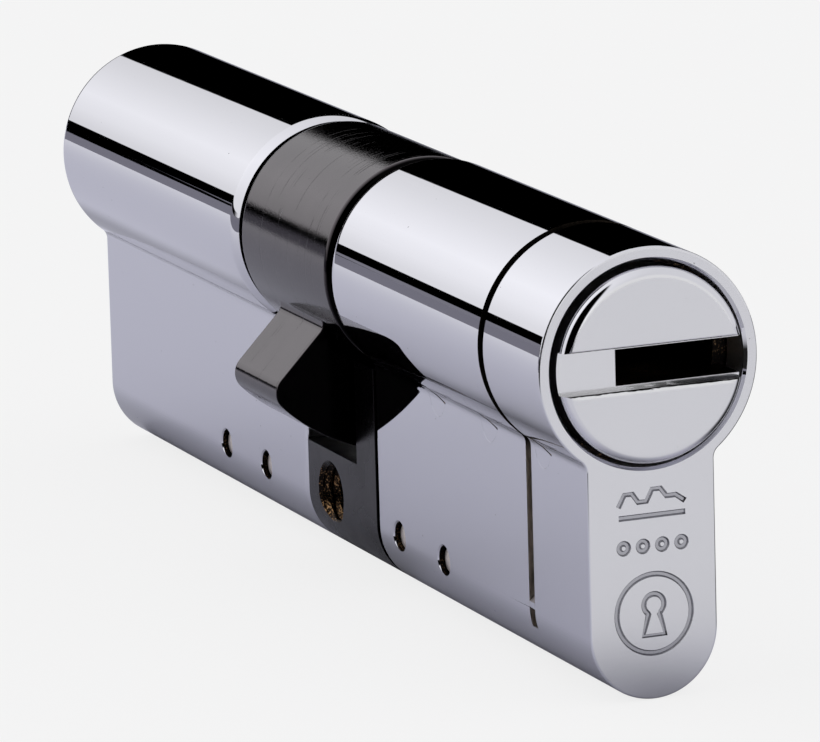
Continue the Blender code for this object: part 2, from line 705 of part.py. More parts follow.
def chamber_plugs(half, turn, core):
    """Plugs under all stacks but the innermost, which stands on the connecting bar."""
    for n, place in enumerate(PIN_PLACES[:-1]):
        under = -BOTTOM_DEPTH - PAST
        profile = [(0.0, TONGUE_TOP), (PIN_RADIUS, TONGUE_TOP)]
        if n in DISC_CHAMBERS:
            seat = -BOTTOM_DEPTH + DISC_DEPTH - DISC_CLEARANCE
            profile += [(PIN_RADIUS, seat), (DISC_RADIUS, seat), (DISC_RADIUS, under)]
        else:
            profile.append((PIN_RADIUS, under))
        profile.append((0.0, under))
        matrix = half_turn(turn) @ Matrix.Translation(OUTWARD * place)
        name = f"{half}_chamber_plug_{n + 1}"
        made = turned(name, profile, matrix, 2 * PIN_STEPS, CHROME)
        cut(made, core, operation="INTERSECT")


def side_plugs(half, turn, core):
    """Short plugs that close the loading holes in the fillet."""
    for count, n in enumerate(SIDE_CHAMBERS):
        start, end = side_line(n, BORE_RADIUS + SIDE_FLOOR)
        name = f"{half}_side_plug_{count + 1}"
        made = drum(name, SIDE_RADIUS, start, end, half_turn(turn), 2 * PIN_STEPS, CHROME)
        cut(made, core, operation="INTERSECT")


def build_half(half, turn):
    body(half, turn)
    plug(half, turn)
    clip(half, turn)
    outline = profile_outline(FLUSH_GAP)
    core = plate(f"{half}_flush_core", [outline], BODY_END, HALF_LENGTH, half_turn(turn))
    chamber_plugs(half, turn, core)
    side_plugs(half, turn, core)
    for n in range(PIN_COUNT):
        pin_stack(half, turn, n)


def main():
    connecting_bar()
    cross_pins()
    cam()
    clutch()
    for half, turn in HALVES.items():
        build_half(half, turn)


if __name__ == "__main__":
    main()
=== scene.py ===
"""The finished look of a double euro profile cylinder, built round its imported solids.

Each sub-assembly is a class with its sizes as fields. A piece is a set of surfaces worked out as
whole arrays, carved with the tools a machinist would use, and then shaded from the exact shapes its
faces lie on, so that polished metal reflects without facets. Lengths are in metres: X runs across
the profile, Y along it with the key face towards -Y, and Z is up.
"""

from __future__ import annotations

import json
import logging
import math
from dataclasses import dataclass
from enum import Enum
from typing import Callable, Sequence, Union

import bmesh
import bpy
import numpy as np
import numpy.typing as npt
from mathutils import Matrix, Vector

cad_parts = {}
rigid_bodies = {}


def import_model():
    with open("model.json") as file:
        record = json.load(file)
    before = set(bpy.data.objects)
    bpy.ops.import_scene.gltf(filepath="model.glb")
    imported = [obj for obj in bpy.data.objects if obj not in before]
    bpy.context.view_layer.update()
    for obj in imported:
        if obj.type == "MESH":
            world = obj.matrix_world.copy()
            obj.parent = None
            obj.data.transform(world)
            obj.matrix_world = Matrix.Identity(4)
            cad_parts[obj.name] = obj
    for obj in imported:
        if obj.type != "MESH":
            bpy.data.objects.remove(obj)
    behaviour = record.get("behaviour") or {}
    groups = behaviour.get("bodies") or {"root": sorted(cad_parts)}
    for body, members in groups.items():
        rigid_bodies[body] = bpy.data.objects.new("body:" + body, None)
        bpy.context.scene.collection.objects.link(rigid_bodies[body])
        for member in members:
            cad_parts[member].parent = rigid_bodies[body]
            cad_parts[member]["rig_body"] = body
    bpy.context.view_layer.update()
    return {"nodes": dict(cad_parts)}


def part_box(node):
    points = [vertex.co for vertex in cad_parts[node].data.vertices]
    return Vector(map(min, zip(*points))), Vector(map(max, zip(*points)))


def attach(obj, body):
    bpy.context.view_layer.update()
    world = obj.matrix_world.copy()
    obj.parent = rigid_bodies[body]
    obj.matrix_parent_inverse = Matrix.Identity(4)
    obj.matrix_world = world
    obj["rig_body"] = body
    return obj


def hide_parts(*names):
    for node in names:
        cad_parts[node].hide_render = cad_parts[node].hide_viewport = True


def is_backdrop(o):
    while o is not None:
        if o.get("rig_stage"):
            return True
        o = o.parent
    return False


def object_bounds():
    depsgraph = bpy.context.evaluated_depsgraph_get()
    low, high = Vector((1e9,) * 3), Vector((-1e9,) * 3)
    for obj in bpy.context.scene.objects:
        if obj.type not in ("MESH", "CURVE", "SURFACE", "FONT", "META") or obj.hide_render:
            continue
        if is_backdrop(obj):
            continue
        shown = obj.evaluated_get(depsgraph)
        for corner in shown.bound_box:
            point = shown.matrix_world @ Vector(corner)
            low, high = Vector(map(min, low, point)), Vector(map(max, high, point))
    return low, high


Array = npt.NDArray[np.float64]
Mask = npt.NDArray[np.bool_]
Solid = bpy.types.Object
Node = bpy.types.Node
Socket = bpy.types.NodeSocket
Colour = tuple[float, float, float]
Feed = Union[Socket, float, Sequence[float]]

LOG = logging.getLogger("euro_cylinder")
MM = 0.001
TAU = math.tau

ROD_STEPS = 64
MOST_WIND, LEAST_SLOPE = 0.05, 0.02
RIM_BAND, RIM_AGREES = 0.012 * MM, 0.85
SECTION_BAND, SECTION_AGREES = 0.02 * MM, 0.6


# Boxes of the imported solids


@dataclass(frozen=True)
class Box:
    """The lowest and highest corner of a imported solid, at rest."""

    low: Array
    high: Array

    @classmethod
    def of(cls, node: str) -> Box:
        """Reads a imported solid's box.

        Args:
            node: The solid's name.

        Returns:
            The box.
        """
        low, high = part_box(node)
        return cls(np.array(low, float), np.array(high, float))

    @property
    def centre(self) -> Array:
        """The middle of the box."""
        return (self.low + self.high) / 2

    @property
    def size(self) -> Array:
        """The length of each side."""
        return self.high - self.low


class Half(Enum):
    """The two halves of the cylinder, each with the side of the centre it lies on."""

    FRONT = -1.0
    BACK = 1.0

    @property
    def label(self) -> str:
        """The word that this half's pieces start with."""
        return self.name.lower()

    @property
    def side(self) -> float:
        """-1 for the half whose key face is towards -Y, and 1 for the other."""
        return float(self.value)

    def frame(self) -> Array:
        """The half turn about Z that carries the front half's layout to this half."""
        return np.diag([1.0, 1.0, 1.0]) if self is Half.FRONT else np.diag([-1.0, -1.0, 1.0])


# Surfaces


@dataclass(frozen=True)
class Outline:
    """A closed outline in X and Z with the direction that faces out at each point."""

    points: Array
    normals: Array


def arc(centre: Sequence[float], radius: float, start: float, end: float, steps: int) -> Array:
    """Points on an arc: centre + radius times (cosine, sine) of evenly spaced angles.

    Args:
        centre: The arc's centre.
        radius: Its radius.
        start: The first angle.
        end: The last angle.
        steps: The number of segments.

    Returns:
        One row per point, both ends included.
    """
    turn = np.linspace(start, end, steps + 1)
    return np.array(centre) + radius * np.stack([np.cos(turn), np.sin(turn)], 1)


@dataclass(frozen=True)
class EuroProfile:
    """The section that a euro cylinder is known by: a barrel on a narrow, round-footed flank."""

    barrel: float
    flank: float
    axis: float
    foot: float
    fillet: float = 1.0 * MM
    barrel_steps: int = 168
    foot_steps: int = 64
    fillet_steps: int = 10

    @property
    def reach(self) -> float:
        """How far across the fillet's centre stands."""
        return self.flank + self.fillet

    @property
    def drop(self) -> float:
        """How far below the barrel's axis the fillet's centre stands."""
        return math.sqrt((self.barrel + self.fillet) ** 2 - self.reach**2)

    @property
    def tangent(self) -> float:
        """The angle about the barrel's axis where the right fillet starts."""
        return math.atan2(-self.drop, self.reach)

    def outline(self) -> Outline:
        """The section, counterclockwise from the left of its foot.

        The foot and the barrel are arcs about their own centres, and a fillet curves the other way,
        so its outward direction is towards its centre.

        Returns:
            The section.
        """
        foot = arc((0, 0), 1.0, math.pi, TAU, self.foot_steps)
        fillet = arc((0, 0), 1.0, math.pi, math.pi + self.tangent, self.fillet_steps)
        top = arc((0, 0), 1.0, self.tangent, math.pi - self.tangent, self.barrel_steps)[1:-1]
        flip = np.array([-1.0, 1.0])
        centre = np.array([self.reach, self.axis - self.drop])
        right = centre + self.fillet * fillet
        points = [
            np.array([0, self.foot]) + self.flank * foot,
            right,
            np.array([0, self.axis]) + self.barrel * top,
            (right * flip)[::-1],
        ]
        normals = [foot, -fillet, top, (-fillet * flip)[::-1]]
        return Outline(np.concatenate(points), np.concatenate(normals))

    def depth_and_normal(self, across: Array, up: Array) -> tuple[Array, Array]:
        """Depth under the section's edge and the outward direction, at any points near it.

        The depth is the radius less the distance from the centre on the barrel and foot, the
        distance less the radius on a fillet, and the half width less the offset on a flank.

        Args:
            across: The points' X.
            up: The points' Z.

        Returns:
            The depths, and one (X, Z) direction per point.
        """
        rise = up - self.axis
        angle = np.arctan2(rise, np.abs(across))
        barrel_far = np.hypot(across, rise)
        side = np.where(across < 0, -1.0, 1.0)
        from_fillet = np.stack([side * self.reach - across, self.axis - self.drop - up], 1)
        fillet_far = np.hypot(*from_fillet.T)
        foot_far = np.hypot(across, up - self.foot)
        on_barrel = angle > self.tangent
        on_fillet = ~on_barrel & (up > self.axis - self.drop)
        on_foot = up < self.foot
        depth = self.flank - np.abs(across)
        normal = np.stack([side, np.zeros_like(side)], 1)
        for where, far, direction, value in (
            (on_barrel, barrel_far, np.stack([across, rise], 1), self.barrel - barrel_far),
            (on_fillet, fillet_far, from_fillet, fillet_far - self.fillet),
            (on_foot, foot_far, np.stack([across, up - self.foot], 1), self.flank - foot_far),
        ):
            depth = np.where(where, value, depth)
            unit = direction / np.maximum(far, 1e-9)[:, None]
            normal = np.where(where[:, None], unit, normal)
        return depth, normal


def mesh_from(name: str, points: Array, faces: Sequence[Sequence[int]]) -> Solid:
    """A linked object from points and faces, merged and facing out.

    Args:
        name: The object's name.
        points: One row per vertex.
        faces: The vertex numbers of each face.

    Returns:
        The new object.
    """
    mesh = bpy.data.meshes.new(name)
    mesh.from_pydata(points.tolist(), [], [list(face) for face in faces])
    shape = bmesh.new()
    shape.from_mesh(mesh)
    bmesh.ops.remove_doubles(shape, verts=shape.verts, dist=1e-7)
    bmesh.ops.recalc_face_normals(shape, faces=shape.faces)
    shape.to_mesh(mesh)
    shape.free()
    obj = bpy.data.objects.new(name, mesh)
    bpy.context.scene.collection.objects.link(obj)
    return obj


def grid_faces(rows: int, columns: int, wrap_rows: bool, wrap_columns: bool) -> Array:
    """The quads between neighbouring points of a grid stored row by row.

    Args:
        rows: The number of rows.
        columns: The number of points in a row.
        wrap_rows: Whether the last row joins the first.
        wrap_columns: Whether a row's last point joins its first.

    Returns:
        Four vertex numbers per quad.
    """
    i = np.arange(rows if wrap_rows else rows - 1)[:, None]
    j = np.arange(columns if wrap_columns else columns - 1)[None, :]
    i_next, j_next = (i + 1) % rows, (j + 1) % columns
    corners = (i * columns + j, i * columns + j_next, i_next * columns + j_next, i_next * columns + j)
    return np.stack([np.broadcast_to(c, (len(i), j.shape[1])) for c in corners], 2).reshape(-1, 4)


def prism(
    name: str, outline: Outline, start: float, end: float, rounding: tuple[float, float] = (0, 0)
) -> Solid:
    """An outline carried along Y, its two rims rounded off.

    In each rim the outline moves in by radius times (1 - sine) while it moves along by radius
    times (1 - cosine) of an angle that runs from 0 to a right angle.

    Args:
        name: The object's name.
        outline: The section in X and Z.
        start: The lower Y.
        end: The higher Y.
        rounding: The rims' radii at start and end.

    Returns:
        The closed solid.
    """
    turn = np.linspace(0.0, math.pi / 2, 9)
    inset, along = [], []
    for radius, edge, way in ((rounding[0], start, 1.0), (rounding[1], end, -1.0)):
        rim = turn if radius > 0 else turn[-1:]
        part_inset = radius * (1 - np.sin(rim))
        part_along = edge + way * radius * (1 - np.cos(rim))
        order = slice(None) if way > 0 else slice(None, None, -1)
        inset.append(part_inset[order])
        along.append(part_along[order])
    insets, places = np.concatenate(inset), np.concatenate(along)
    flat = outline.points[None] - insets[:, None, None] * outline.normals[None]
    rows, count = flat.shape[:2]
    points = np.stack([flat[..., 0], np.broadcast_to(places[:, None], (rows, count)), flat[..., 1]], 2)
    faces = grid_faces(rows, count, False, True).tolist()
    faces += [list(range(count))[::-1], list(range((rows - 1) * count, rows * count))]
    return mesh_from(name, points.reshape(-1, 3), faces)


@dataclass(frozen=True)
class Spindle:
    """A line that shapes are turned about: a point on it and its direction."""

    point: Array
    direction: Array

    def sides(self) -> tuple[Array, Array]:
        """The directions that a circle about the line is laid out by.

        Returns:
            Two unit directions square to the line and to each other.
        """
        guide = np.array([1.0, 0, 0]) if abs(self.direction[0]) < 0.9 else np.array([0, 1.0, 0])
        first = np.cross(self.direction, guide)
        first /= np.linalg.norm(first)
        return first, np.cross(self.direction, first)

    def split(self, points: Array) -> tuple[Array, Array, Array]:
        """Places points by the line.

        Args:
            points: One row per point.

        Returns:
            Height along the line, distance from it, and the direction away from it.
        """
        offset = points - self.point
        height = offset @ self.direction
        away = offset - height[:, None] * self.direction
        far = np.linalg.norm(away, axis=1)
        return height, far, away / np.maximum(far, 1e-12)[:, None]


def turning(
    name: str, spindle: Spindle, profile: Sequence[tuple[float, float]], steps: int = 96
) -> Solid:
    """A turned solid: each (radius, height) point carried round the spindle in a circle.

    Args:
        name: The object's name.
        spindle: The line that it is turned about.
        profile: Points of the half section, from the spindle back to it, or a closed ring.
        steps: The number of facets round it.

    Returns:
        The closed solid.
    """
    section = np.array(profile, float)
    turn = np.arange(steps) * TAU / steps
    first, second = spindle.sides()
    ring = np.cos(turn)[:, None] * first + np.sin(turn)[:, None] * second
    points = spindle.point + section[:, None, :1] * ring[None] + section[:, None, 1:] * spindle.direction
    faces = grid_faces(len(section), steps, section[0, 0] > 0, True)
    return mesh_from(name, points.reshape(-1, 3), faces.tolist())


def rod(
    name: str, spindle: Spindle, radius: float, low: float, high: float, steps: int = ROD_STEPS
) -> Solid:
    """A plain cylinder.

    Args:
        name: The object's name.
        spindle: The line in its middle.
        radius: Its radius.
        low: The height where it starts.
        high: The height where it ends.
        steps: The number of facets round it.

    Returns:
        The closed solid.
    """
    return turning(name, spindle, [(0.0, low), (radius, low), (radius, high), (0.0, high)], steps)


def block(name: str, low: Sequence[float], high: Sequence[float]) -> Solid:
    """A solid with six flat sides.

    Args:
        name: The object's name.
        low: Its lowest corner.
        high: Its highest corner.

    Returns:
        The closed solid.
    """
    corner = np.array([[x, y, z] for x in (0, 1) for y in (0, 1) for z in (0, 1)], float)
    points = np.array(low) + corner * (np.array(high) - np.array(low))
    faces = [(0, 1, 3, 2), (4, 6, 7, 5), (0, 4, 5, 1), (2, 3, 7, 6), (0, 2, 6, 4), (1, 5, 7, 3)]
    return mesh_from(name, points, faces)


def strip(name: str, path: Array, normals: Array, section: Array, closed: bool) -> Solid:
    """A section carried along a path.

    Each point is the path's point, plus the section's first value times the path's normal, plus
    its second value times the direction square to both.

    Args:
        name: The object's name.
        path: The points to follow.
        normals: A unit direction at each point, square to the path.
        section: Closed (offset along the normal, offset sideways) points.
        closed: Whether the path joins its own start.

    Returns:
        The closed solid.
    """
    ahead = np.roll(path, -1, 0) - np.roll(path, 1, 0)
    if not closed:
        ahead[0], ahead[-1] = path[1] - path[0], path[-1] - path[-2]
    side = np.cross(ahead, normals)
    side /= np.linalg.norm(side, axis=1)[:, None]
    points = (
        path[:, None]
        + section[None, :, :1] * normals[:, None]
        + section[None, :, 1:] * side[:, None]
    )
    rows, count = points.shape[:2]
    faces = grid_faces(rows, count, closed, True).tolist()
    if not closed:
        faces += [list(range(count))[::-1], list(range((rows - 1) * count, rows * count))]
    return mesh_from(name, points.reshape(-1, 3), faces)


def threaded(
    name: str, spindle: Spindle, reach: float, core: float, crest: float, pitch: float
) -> Solid:
    """A screw-shaped cutter.

    Its radius is the core plus a triangle wave of the height less the turn's share of a pitch.

    Args:
        name: The object's name.
        spindle: The line that the thread winds about.
        reach: The distance from the spindle's point to either end.
        core: The smallest radius.
        crest: The largest radius.
        pitch: The rise in one turn.

    Returns:
        The closed cutter.
    """
    turn = np.arange(48) * TAU / 48
    height = np.linspace(-reach, reach, int(2 * reach / pitch * 8) + 1)
    phase = (height[:, None] / pitch - turn[None] / TAU) % 1.0
    radius = core + (crest - core) * (1 - np.abs(2 * phase - 1))
    first, second = spindle.sides()
    ring = np.cos(turn)[:, None] * first + np.sin(turn)[:, None] * second
    points = spindle.point + radius[..., None] * ring[None] + height[:, None, None] * spindle.direction
    rows, count = points.shape[:2]
    faces = grid_faces(rows, count, False, True).tolist()
    faces += [list(range(count))[::-1], list(range((rows - 1) * count, rows * count))]
    return mesh_from(name, points.reshape(-1, 3), faces)


class Cut(Enum):
    """What a tool does to the piece it meets."""

    AWAY = "DIFFERENCE"
    JOIN = "UNION"
    KEEP = "INTERSECT"


def carve(piece: Solid, tools: Sequence[Solid], cut: Cut = Cut.AWAY) -> Solid:
    """Works a piece with tools one after another, and leaves its mesh final.

    Args:
        piece: The piece.
        tools: Closed shapes, which are used up.
        cut: What they do to the piece.

    Returns:
        The same piece.
    """
    for tool in tools:
        step = piece.modifiers.new(tool.name, "BOOLEAN")
        step.operation = cut.value
        step.solver = "MANIFOLD"
        step.material_mode = "TRANSFER"
        step.object = tool
    bpy.context.view_layer.update()
    graph = bpy.context.evaluated_depsgraph_get()
    made = bpy.data.meshes.new_from_object(piece.evaluated_get(graph))
    piece.modifiers.clear()
    old, piece.data = piece.data, made
    bpy.data.meshes.remove(old)
    made.name = piece.name
    for tool in tools:
        bpy.data.objects.remove(tool)
    return piece


# Exact shading


@dataclass(frozen=True)
class Corners:
    """The corners of all faces: where each is, and its face's direction and middle."""

    points: Array
    facing: Array
    middle: Array


class Shape:
    """A shape that faces may lie on."""

    def read(self, corners: Corners) -> tuple[Mask, Array]:
        """Compares corners with the shape.

        Args:
            corners: The corners of all faces.

        Returns:
            Which corners lie on the shape, and the shape's outward direction at them.
        """
        raise NotImplementedError


@dataclass(frozen=True)
class Turned(Shape):
    """Surfaces turned about a spindle: a face keeps its slope, taken round to each corner."""

    spindle: Spindle
    smallest: float
    largest: float

    def read(self, corners: Corners) -> tuple[Mask, Array]:
        """A face's slope is its direction along the spindle and away from it at its middle.

        Args:
            corners: The corners of all faces.

        Returns:
            Which corners lie on it, and its outward direction at them.
        """
        _, far, away = self.spindle.split(corners.points)
        _, _, out = self.spindle.split(corners.middle)
        slope = (corners.facing * out).sum(1)
        rise = corners.facing @ self.spindle.direction
        along = rise[:, None] * self.spindle.direction
        wind = np.linalg.norm(corners.facing - slope[:, None] * out - along, axis=1)
        inside = (far > self.smallest) & (far < self.largest)
        inside &= (wind < MOST_WIND) & (abs(slope) > LEAST_SLOPE)
        return inside, slope[:, None] * away + along


@dataclass(frozen=True)
class Rolled(Shape):
    """A rounded rim about a spindle: the surface at one distance from a circle."""

    spindle: Spindle
    ring: float
    height: float
    radius: float

    def read(self, corners: Corners) -> tuple[Mask, Array]:
        """The direction is away from the nearest point of the circle.

        Args:
            corners: The corners of all faces.

        Returns:
            Which corners lie on it, and its outward direction at them.
        """
        height, far, away = self.spindle.split(corners.points)
        out, rise = far - self.ring, height - self.height
        distance = np.hypot(out, rise)
        offset = out[:, None] * away + rise[:, None] * self.spindle.direction
        unit = offset / np.maximum(distance, 1e-12)[:, None]
        near = np.abs(distance - self.radius) < RIM_BAND
        return near & ((unit * corners.facing).sum(1) > RIM_AGREES), unit


@dataclass(frozen=True)
class Profiled(Shape):
    """The outer surface of a prism with the euro section and rounded rims."""

    profile: EuroProfile
    start: float
    end: float
    rounding: tuple[float, float] = (0.0, 0.0)
    inset: float = 0.0

    def read(self, corners: Corners) -> tuple[Mask, Array]:
        """The section's direction, leaning along Y through each rim by its rounding's angle.

        Args:
            corners: The corners of all faces.

        Returns:
            Which corners lie on it, and its outward direction at them.
        """
        depth, flat = self.profile.depth_and_normal(corners.points[:, 0], corners.points[:, 2])
        depth = depth - self.inset
        lean = np.zeros(len(depth))
        for radius, edge, way in (
            (self.rounding[0], self.start, -1.0),
            (self.rounding[1], self.end, 1.0),
        ):
            if radius > 0:
                past = (edge - corners.points[:, 1]) * -way
                inside = past < radius
                share = np.clip(1 - past / radius, 0, 1)
                lean = np.where(inside, way * share, lean)
                depth = np.where(inside, depth - radius * (1 - np.sqrt(1 - share**2)), depth)
        level = np.sqrt(1 - lean**2)
        unit = np.stack([flat[:, 0] * level, lean, flat[:, 1] * level], 1)
        along = corners.points[:, 1]
        span = (along > self.start - SECTION_BAND) & (along < self.end + SECTION_BAND)
        near = np.abs(depth) < SECTION_BAND
        return near & span & ((unit * corners.facing).sum(1) > SECTION_AGREES), unit


def shade(piece: Solid, shapes: Sequence[Shape]) -> Solid:
    """Gives every face that lies wholly on a known shape that shape's directions at its corners.

    Args:
        piece: A piece whose mesh is final.
        shapes: The shapes, the first that fits a face being used.

    Returns:
        The same piece.
    """
    mesh = piece.data
    vertices = np.zeros(len(mesh.vertices) * 3)
    mesh.vertices.foreach_get("co", vertices)
    corner_vertex = np.zeros(len(mesh.loops), np.int64)
    mesh.loops.foreach_get("vertex_index", corner_vertex)
    starts, totals = (np.zeros(len(mesh.polygons), np.int64) for _ in range(2))
    mesh.polygons.foreach_get("loop_start", starts)
    mesh.polygons.foreach_get("loop_total", totals)
    facing, middle = (np.zeros(len(mesh.polygons) * 3) for _ in range(2))
    mesh.polygons.foreach_get("normal", facing)
    mesh.polygons.foreach_get("center", middle)
    face = np.repeat(np.arange(len(starts)), totals)
    corners = Corners(
        vertices.reshape(-1, 3)[corner_vertex],
        facing.reshape(-1, 3)[face],
        middle.reshape(-1, 3)[face],
    )
    normals = corners.facing.copy()
    free = np.ones(len(starts), bool)
    for shape in shapes:
        fits, units = shape.read(corners)
        whole = free & np.logical_and.reduceat(fits, starts)
        normals[whole[face]] = units[whole[face]]
        free &= ~whole
    mesh.polygons.foreach_set("use_smooth", np.ones(len(mesh.polygons), bool))
    mesh.normals_split_custom_set(normals.tolist())
    mesh.update()
    return piece


# Shader node helpers and shared effects


class Wiring:
    """Adds and joins nodes in one tree."""

    def __init__(self, tree: bpy.types.NodeTree) -> None:
        """Works in the given tree."""
        self.tree = tree

    def node(self, kind: str, **settings: object) -> Node:
        """Adds a node.

        Args:
            kind: The node's type.
            settings: Its plain settings.

        Returns:
            The node.
        """
        made = self.tree.nodes.new(kind)
        for name, value in settings.items():
            setattr(made, name, value)
        return made

    def join(self, source: Feed, target: Socket) -> None:
        """Links a socket, or sets a plain value.

        Args:
            source: The socket or the value.
            target: The input that it goes to.
        """
        if isinstance(source, Socket):
            self.tree.links.new(source, target)
        else:
            target.default_value = source

    def math(self, operation: str, first: Feed, second: Feed = 0.0) -> Socket:
        """One calculation on two values.

        Args:
            operation: The calculation's name.
            first: The first value.
            second: The second value.

        Returns:
            The result.
        """
        made = self.node("ShaderNodeMath", operation=operation)
        self.join(first, made.inputs[0])
        self.join(second, made.inputs[1])
        return made.outputs[0]

    def between(
        self, value: Feed, low: float, high: float, first: Feed = 0.0, last: Feed = 1.0
    ) -> Socket:
        """A value that runs smoothly from first to last as another runs from low to high.

        Args:
            value: The other value.
            low: Where it starts to count.
            high: Where it stops.
            first: The result at low and below.
            last: The result at high and above.

        Returns:
            The result.
        """
        made = self.node("ShaderNodeMapRange", interpolation_type="SMOOTHSTEP")
        names = ("Value", "From Min", "From Max", "To Min", "To Max")
        for name, given in zip(names, (value, low, high, first, last)):
            self.join(given, made.inputs[name])
        return made.outputs["Result"]

    def blend(self, share: Feed, first: Feed, second: Feed) -> Socket:
        """A colour between two.

        Args:
            share: How much of the second there is, from 0 to 1.
            first: The first colour.
            second: The second colour.

        Returns:
            The colour.
        """
        made = self.node("ShaderNodeMix", data_type="RGBA", clamp_factor=True)
        self.join(share, made.inputs["Factor"])
        self.join(first, made.inputs[6])
        self.join(second, made.inputs[7])
        return made.outputs[2]

    def noise(self, vector: Feed, scale: Feed, detail: float = 2.0, rough: float = 0.5) -> Socket:
        """Smooth noise.

        Args:
            vector: Where it is read.
            scale: How fast it changes.
            detail: The number of finer layers.
            rough: How much each finer layer counts.

        Returns:
            The noise, from 0 to 1.
        """
        made = self.node("ShaderNodeTexNoise")
        self.join(vector, made.inputs["Vector"])
        self.join(scale, made.inputs["Scale"])
        made.inputs["Detail"].default_value = detail
        made.inputs["Roughness"].default_value = rough
        return made.outputs["Fac"]

    def stretched(self, vector: Feed, scale: Sequence[float]) -> Socket:
        """A position scaled by its own amount along each axis.

        Args:
            vector: The position.
            scale: The three amounts.

        Returns:
            The scaled position.
        """
        made = self.node("ShaderNodeVectorMath", operation="MULTIPLY")
        self.join(vector, made.inputs[0])
        made.inputs[1].default_value = tuple(scale)
        return made.outputs[0]

    def parts(self, vector: Feed) -> tuple[Socket, ...]:
        """Takes a vector apart.

        Args:
            vector: The vector.

        Returns:
            Its X, Y and Z.
        """
        made = self.node("ShaderNodeSeparateXYZ")
        self.join(vector, made.inputs[0])
        return tuple(made.outputs)


def effect(
    name: str,
    inputs: Sequence[tuple[str, str, object]],
    outputs: Sequence[tuple[str, str]],
    fill: Callable[[Wiring, Node, Node], None],
) -> bpy.types.NodeTree:
    """A shader node group with named inputs and outputs, built once.

    Args:
        name: The group's name.
        inputs: Name, socket type and usual value of each input.
        outputs: Name and socket type of each output.
        fill: Adds the nodes between the group's input and output nodes.

    Returns:
        The group.
    """
    known = bpy.data.node_groups.get(name)
    if known:
        return known
    tree = bpy.data.node_groups.new(name, "ShaderNodeTree")
    for label, kind, value in inputs:
        socket = tree.interface.new_socket(name=label, in_out="INPUT", socket_type=kind)
        if value is not None:
            socket.default_value = value
    for label, kind in outputs:
        tree.interface.new_socket(name=label, in_out="OUTPUT", socket_type=kind)
    fill(Wiring(tree), tree.nodes.new("NodeGroupInput"), tree.nodes.new("NodeGroupOutput"))
    return tree


FLOAT, VECTOR, COLOUR = "NodeSocketFloat", "NodeSocketVector", "NodeSocketColor"


def polish_effect() -> bpy.types.NodeTree:
    """Haze, fine wiping marks and rare specks of a polished surface.

    The haze is broad noise, the marks are noise drawn out along Y, and a speck is where fine noise
    passes a high level.

    Returns:
        The effect.
    """

    def fill(w: Wiring, given: Node, out: Node) -> None:
        """Joins the patterns to the outputs.

        Args:
            w: The group's nodes.
            given: Its input node.
            out: Its output node.
        """
        place = given.outputs["Position"]
        haze = w.noise(place, 160.0, 3.0)
        marks = w.noise(w.stretched(place, (2600.0, 240.0, 2600.0)), 1.0, 3.0, 0.6)
        grain = w.noise(place, given.outputs["Speck Scale"], 1.0)
        speck = w.between(grain, 0.80, 0.84)
        w.join(haze, out.inputs["Haze"])
        w.join(w.between(marks, 0.5, 0.8), out.inputs["Marks"])
        w.join(speck, out.inputs["Specks"])
        swell = w.noise(place, 90.0, 2.0)
        w.join(swell, out.inputs["Swell"])

    return effect(
        "polish",
        [("Position", VECTOR, None), ("Speck Scale", FLOAT, 2600.0)],
        [("Haze", FLOAT), ("Marks", FLOAT), ("Specks", FLOAT), ("Swell", FLOAT)],
        fill,
    )


def lathe_effect() -> bpy.types.NodeTree:
    """Turning lines round the Y axis: noise that depends on Y alone, broken up by a slow noise.

    Returns:
        The effect.
    """

    def fill(w: Wiring, given: Node, out: Node) -> None:
        """Joins the lines and their breaks to the outputs.

        Args:
            w: The group's nodes.
            given: Its input node.
            out: Its output node.
        """
        place = given.outputs["Position"]
        fine = w.noise(w.stretched(place, (30.0, 9000.0, 30.0)), given.outputs["Density"], 2.0)
        bold = w.noise(w.stretched(place, (12.0, 3300.0, 12.0)), given.outputs["Density"], 1.0)
        broken = w.noise(place, 420.0, 2.0)
        line = w.between(bold, 0.66, 0.70)
        w.join(w.math("MULTIPLY", line, w.between(broken, 0.35, 0.6)), out.inputs["Grooves"])
        w.join(fine, out.inputs["Lines"])

    return effect(
        "lathe_lines",
        [("Position", VECTOR, None), ("Density", FLOAT, 1.0)],
        [("Grooves", FLOAT), ("Lines", FLOAT)],
        fill,
    )


def tumble_effect() -> bpy.types.NodeTree:
    """The fine pebbled skin of a blackened part: three sizes of noise and scattered pits.

    Returns:
        The effect.
    """

    def fill(w: Wiring, given: Node, out: Node) -> None:
        """Joins skin, pits and patches to the outputs.

        Args:
            w: The group's nodes.
            given: Its input node.
            out: Its output node.
        """
        place = given.outputs["Position"]
        skin = w.noise(place, given.outputs["Grain"], 4.0, 0.65)
        pits = w.noise(place, 3400.0, 1.0)
        patches = w.noise(place, 260.0, 4.0, 0.6)
        w.join(skin, out.inputs["Skin"])
        w.join(w.between(pits, 0.80, 0.86), out.inputs["Pits"])
        w.join(patches, out.inputs["Patches"])

    return effect(
        "tumbled_skin",
        [("Position", VECTOR, None), ("Grain", FLOAT, 5200.0)],
        [("Skin", FLOAT), ("Pits", FLOAT), ("Patches", FLOAT)],
        fill,
    )


# Finishes


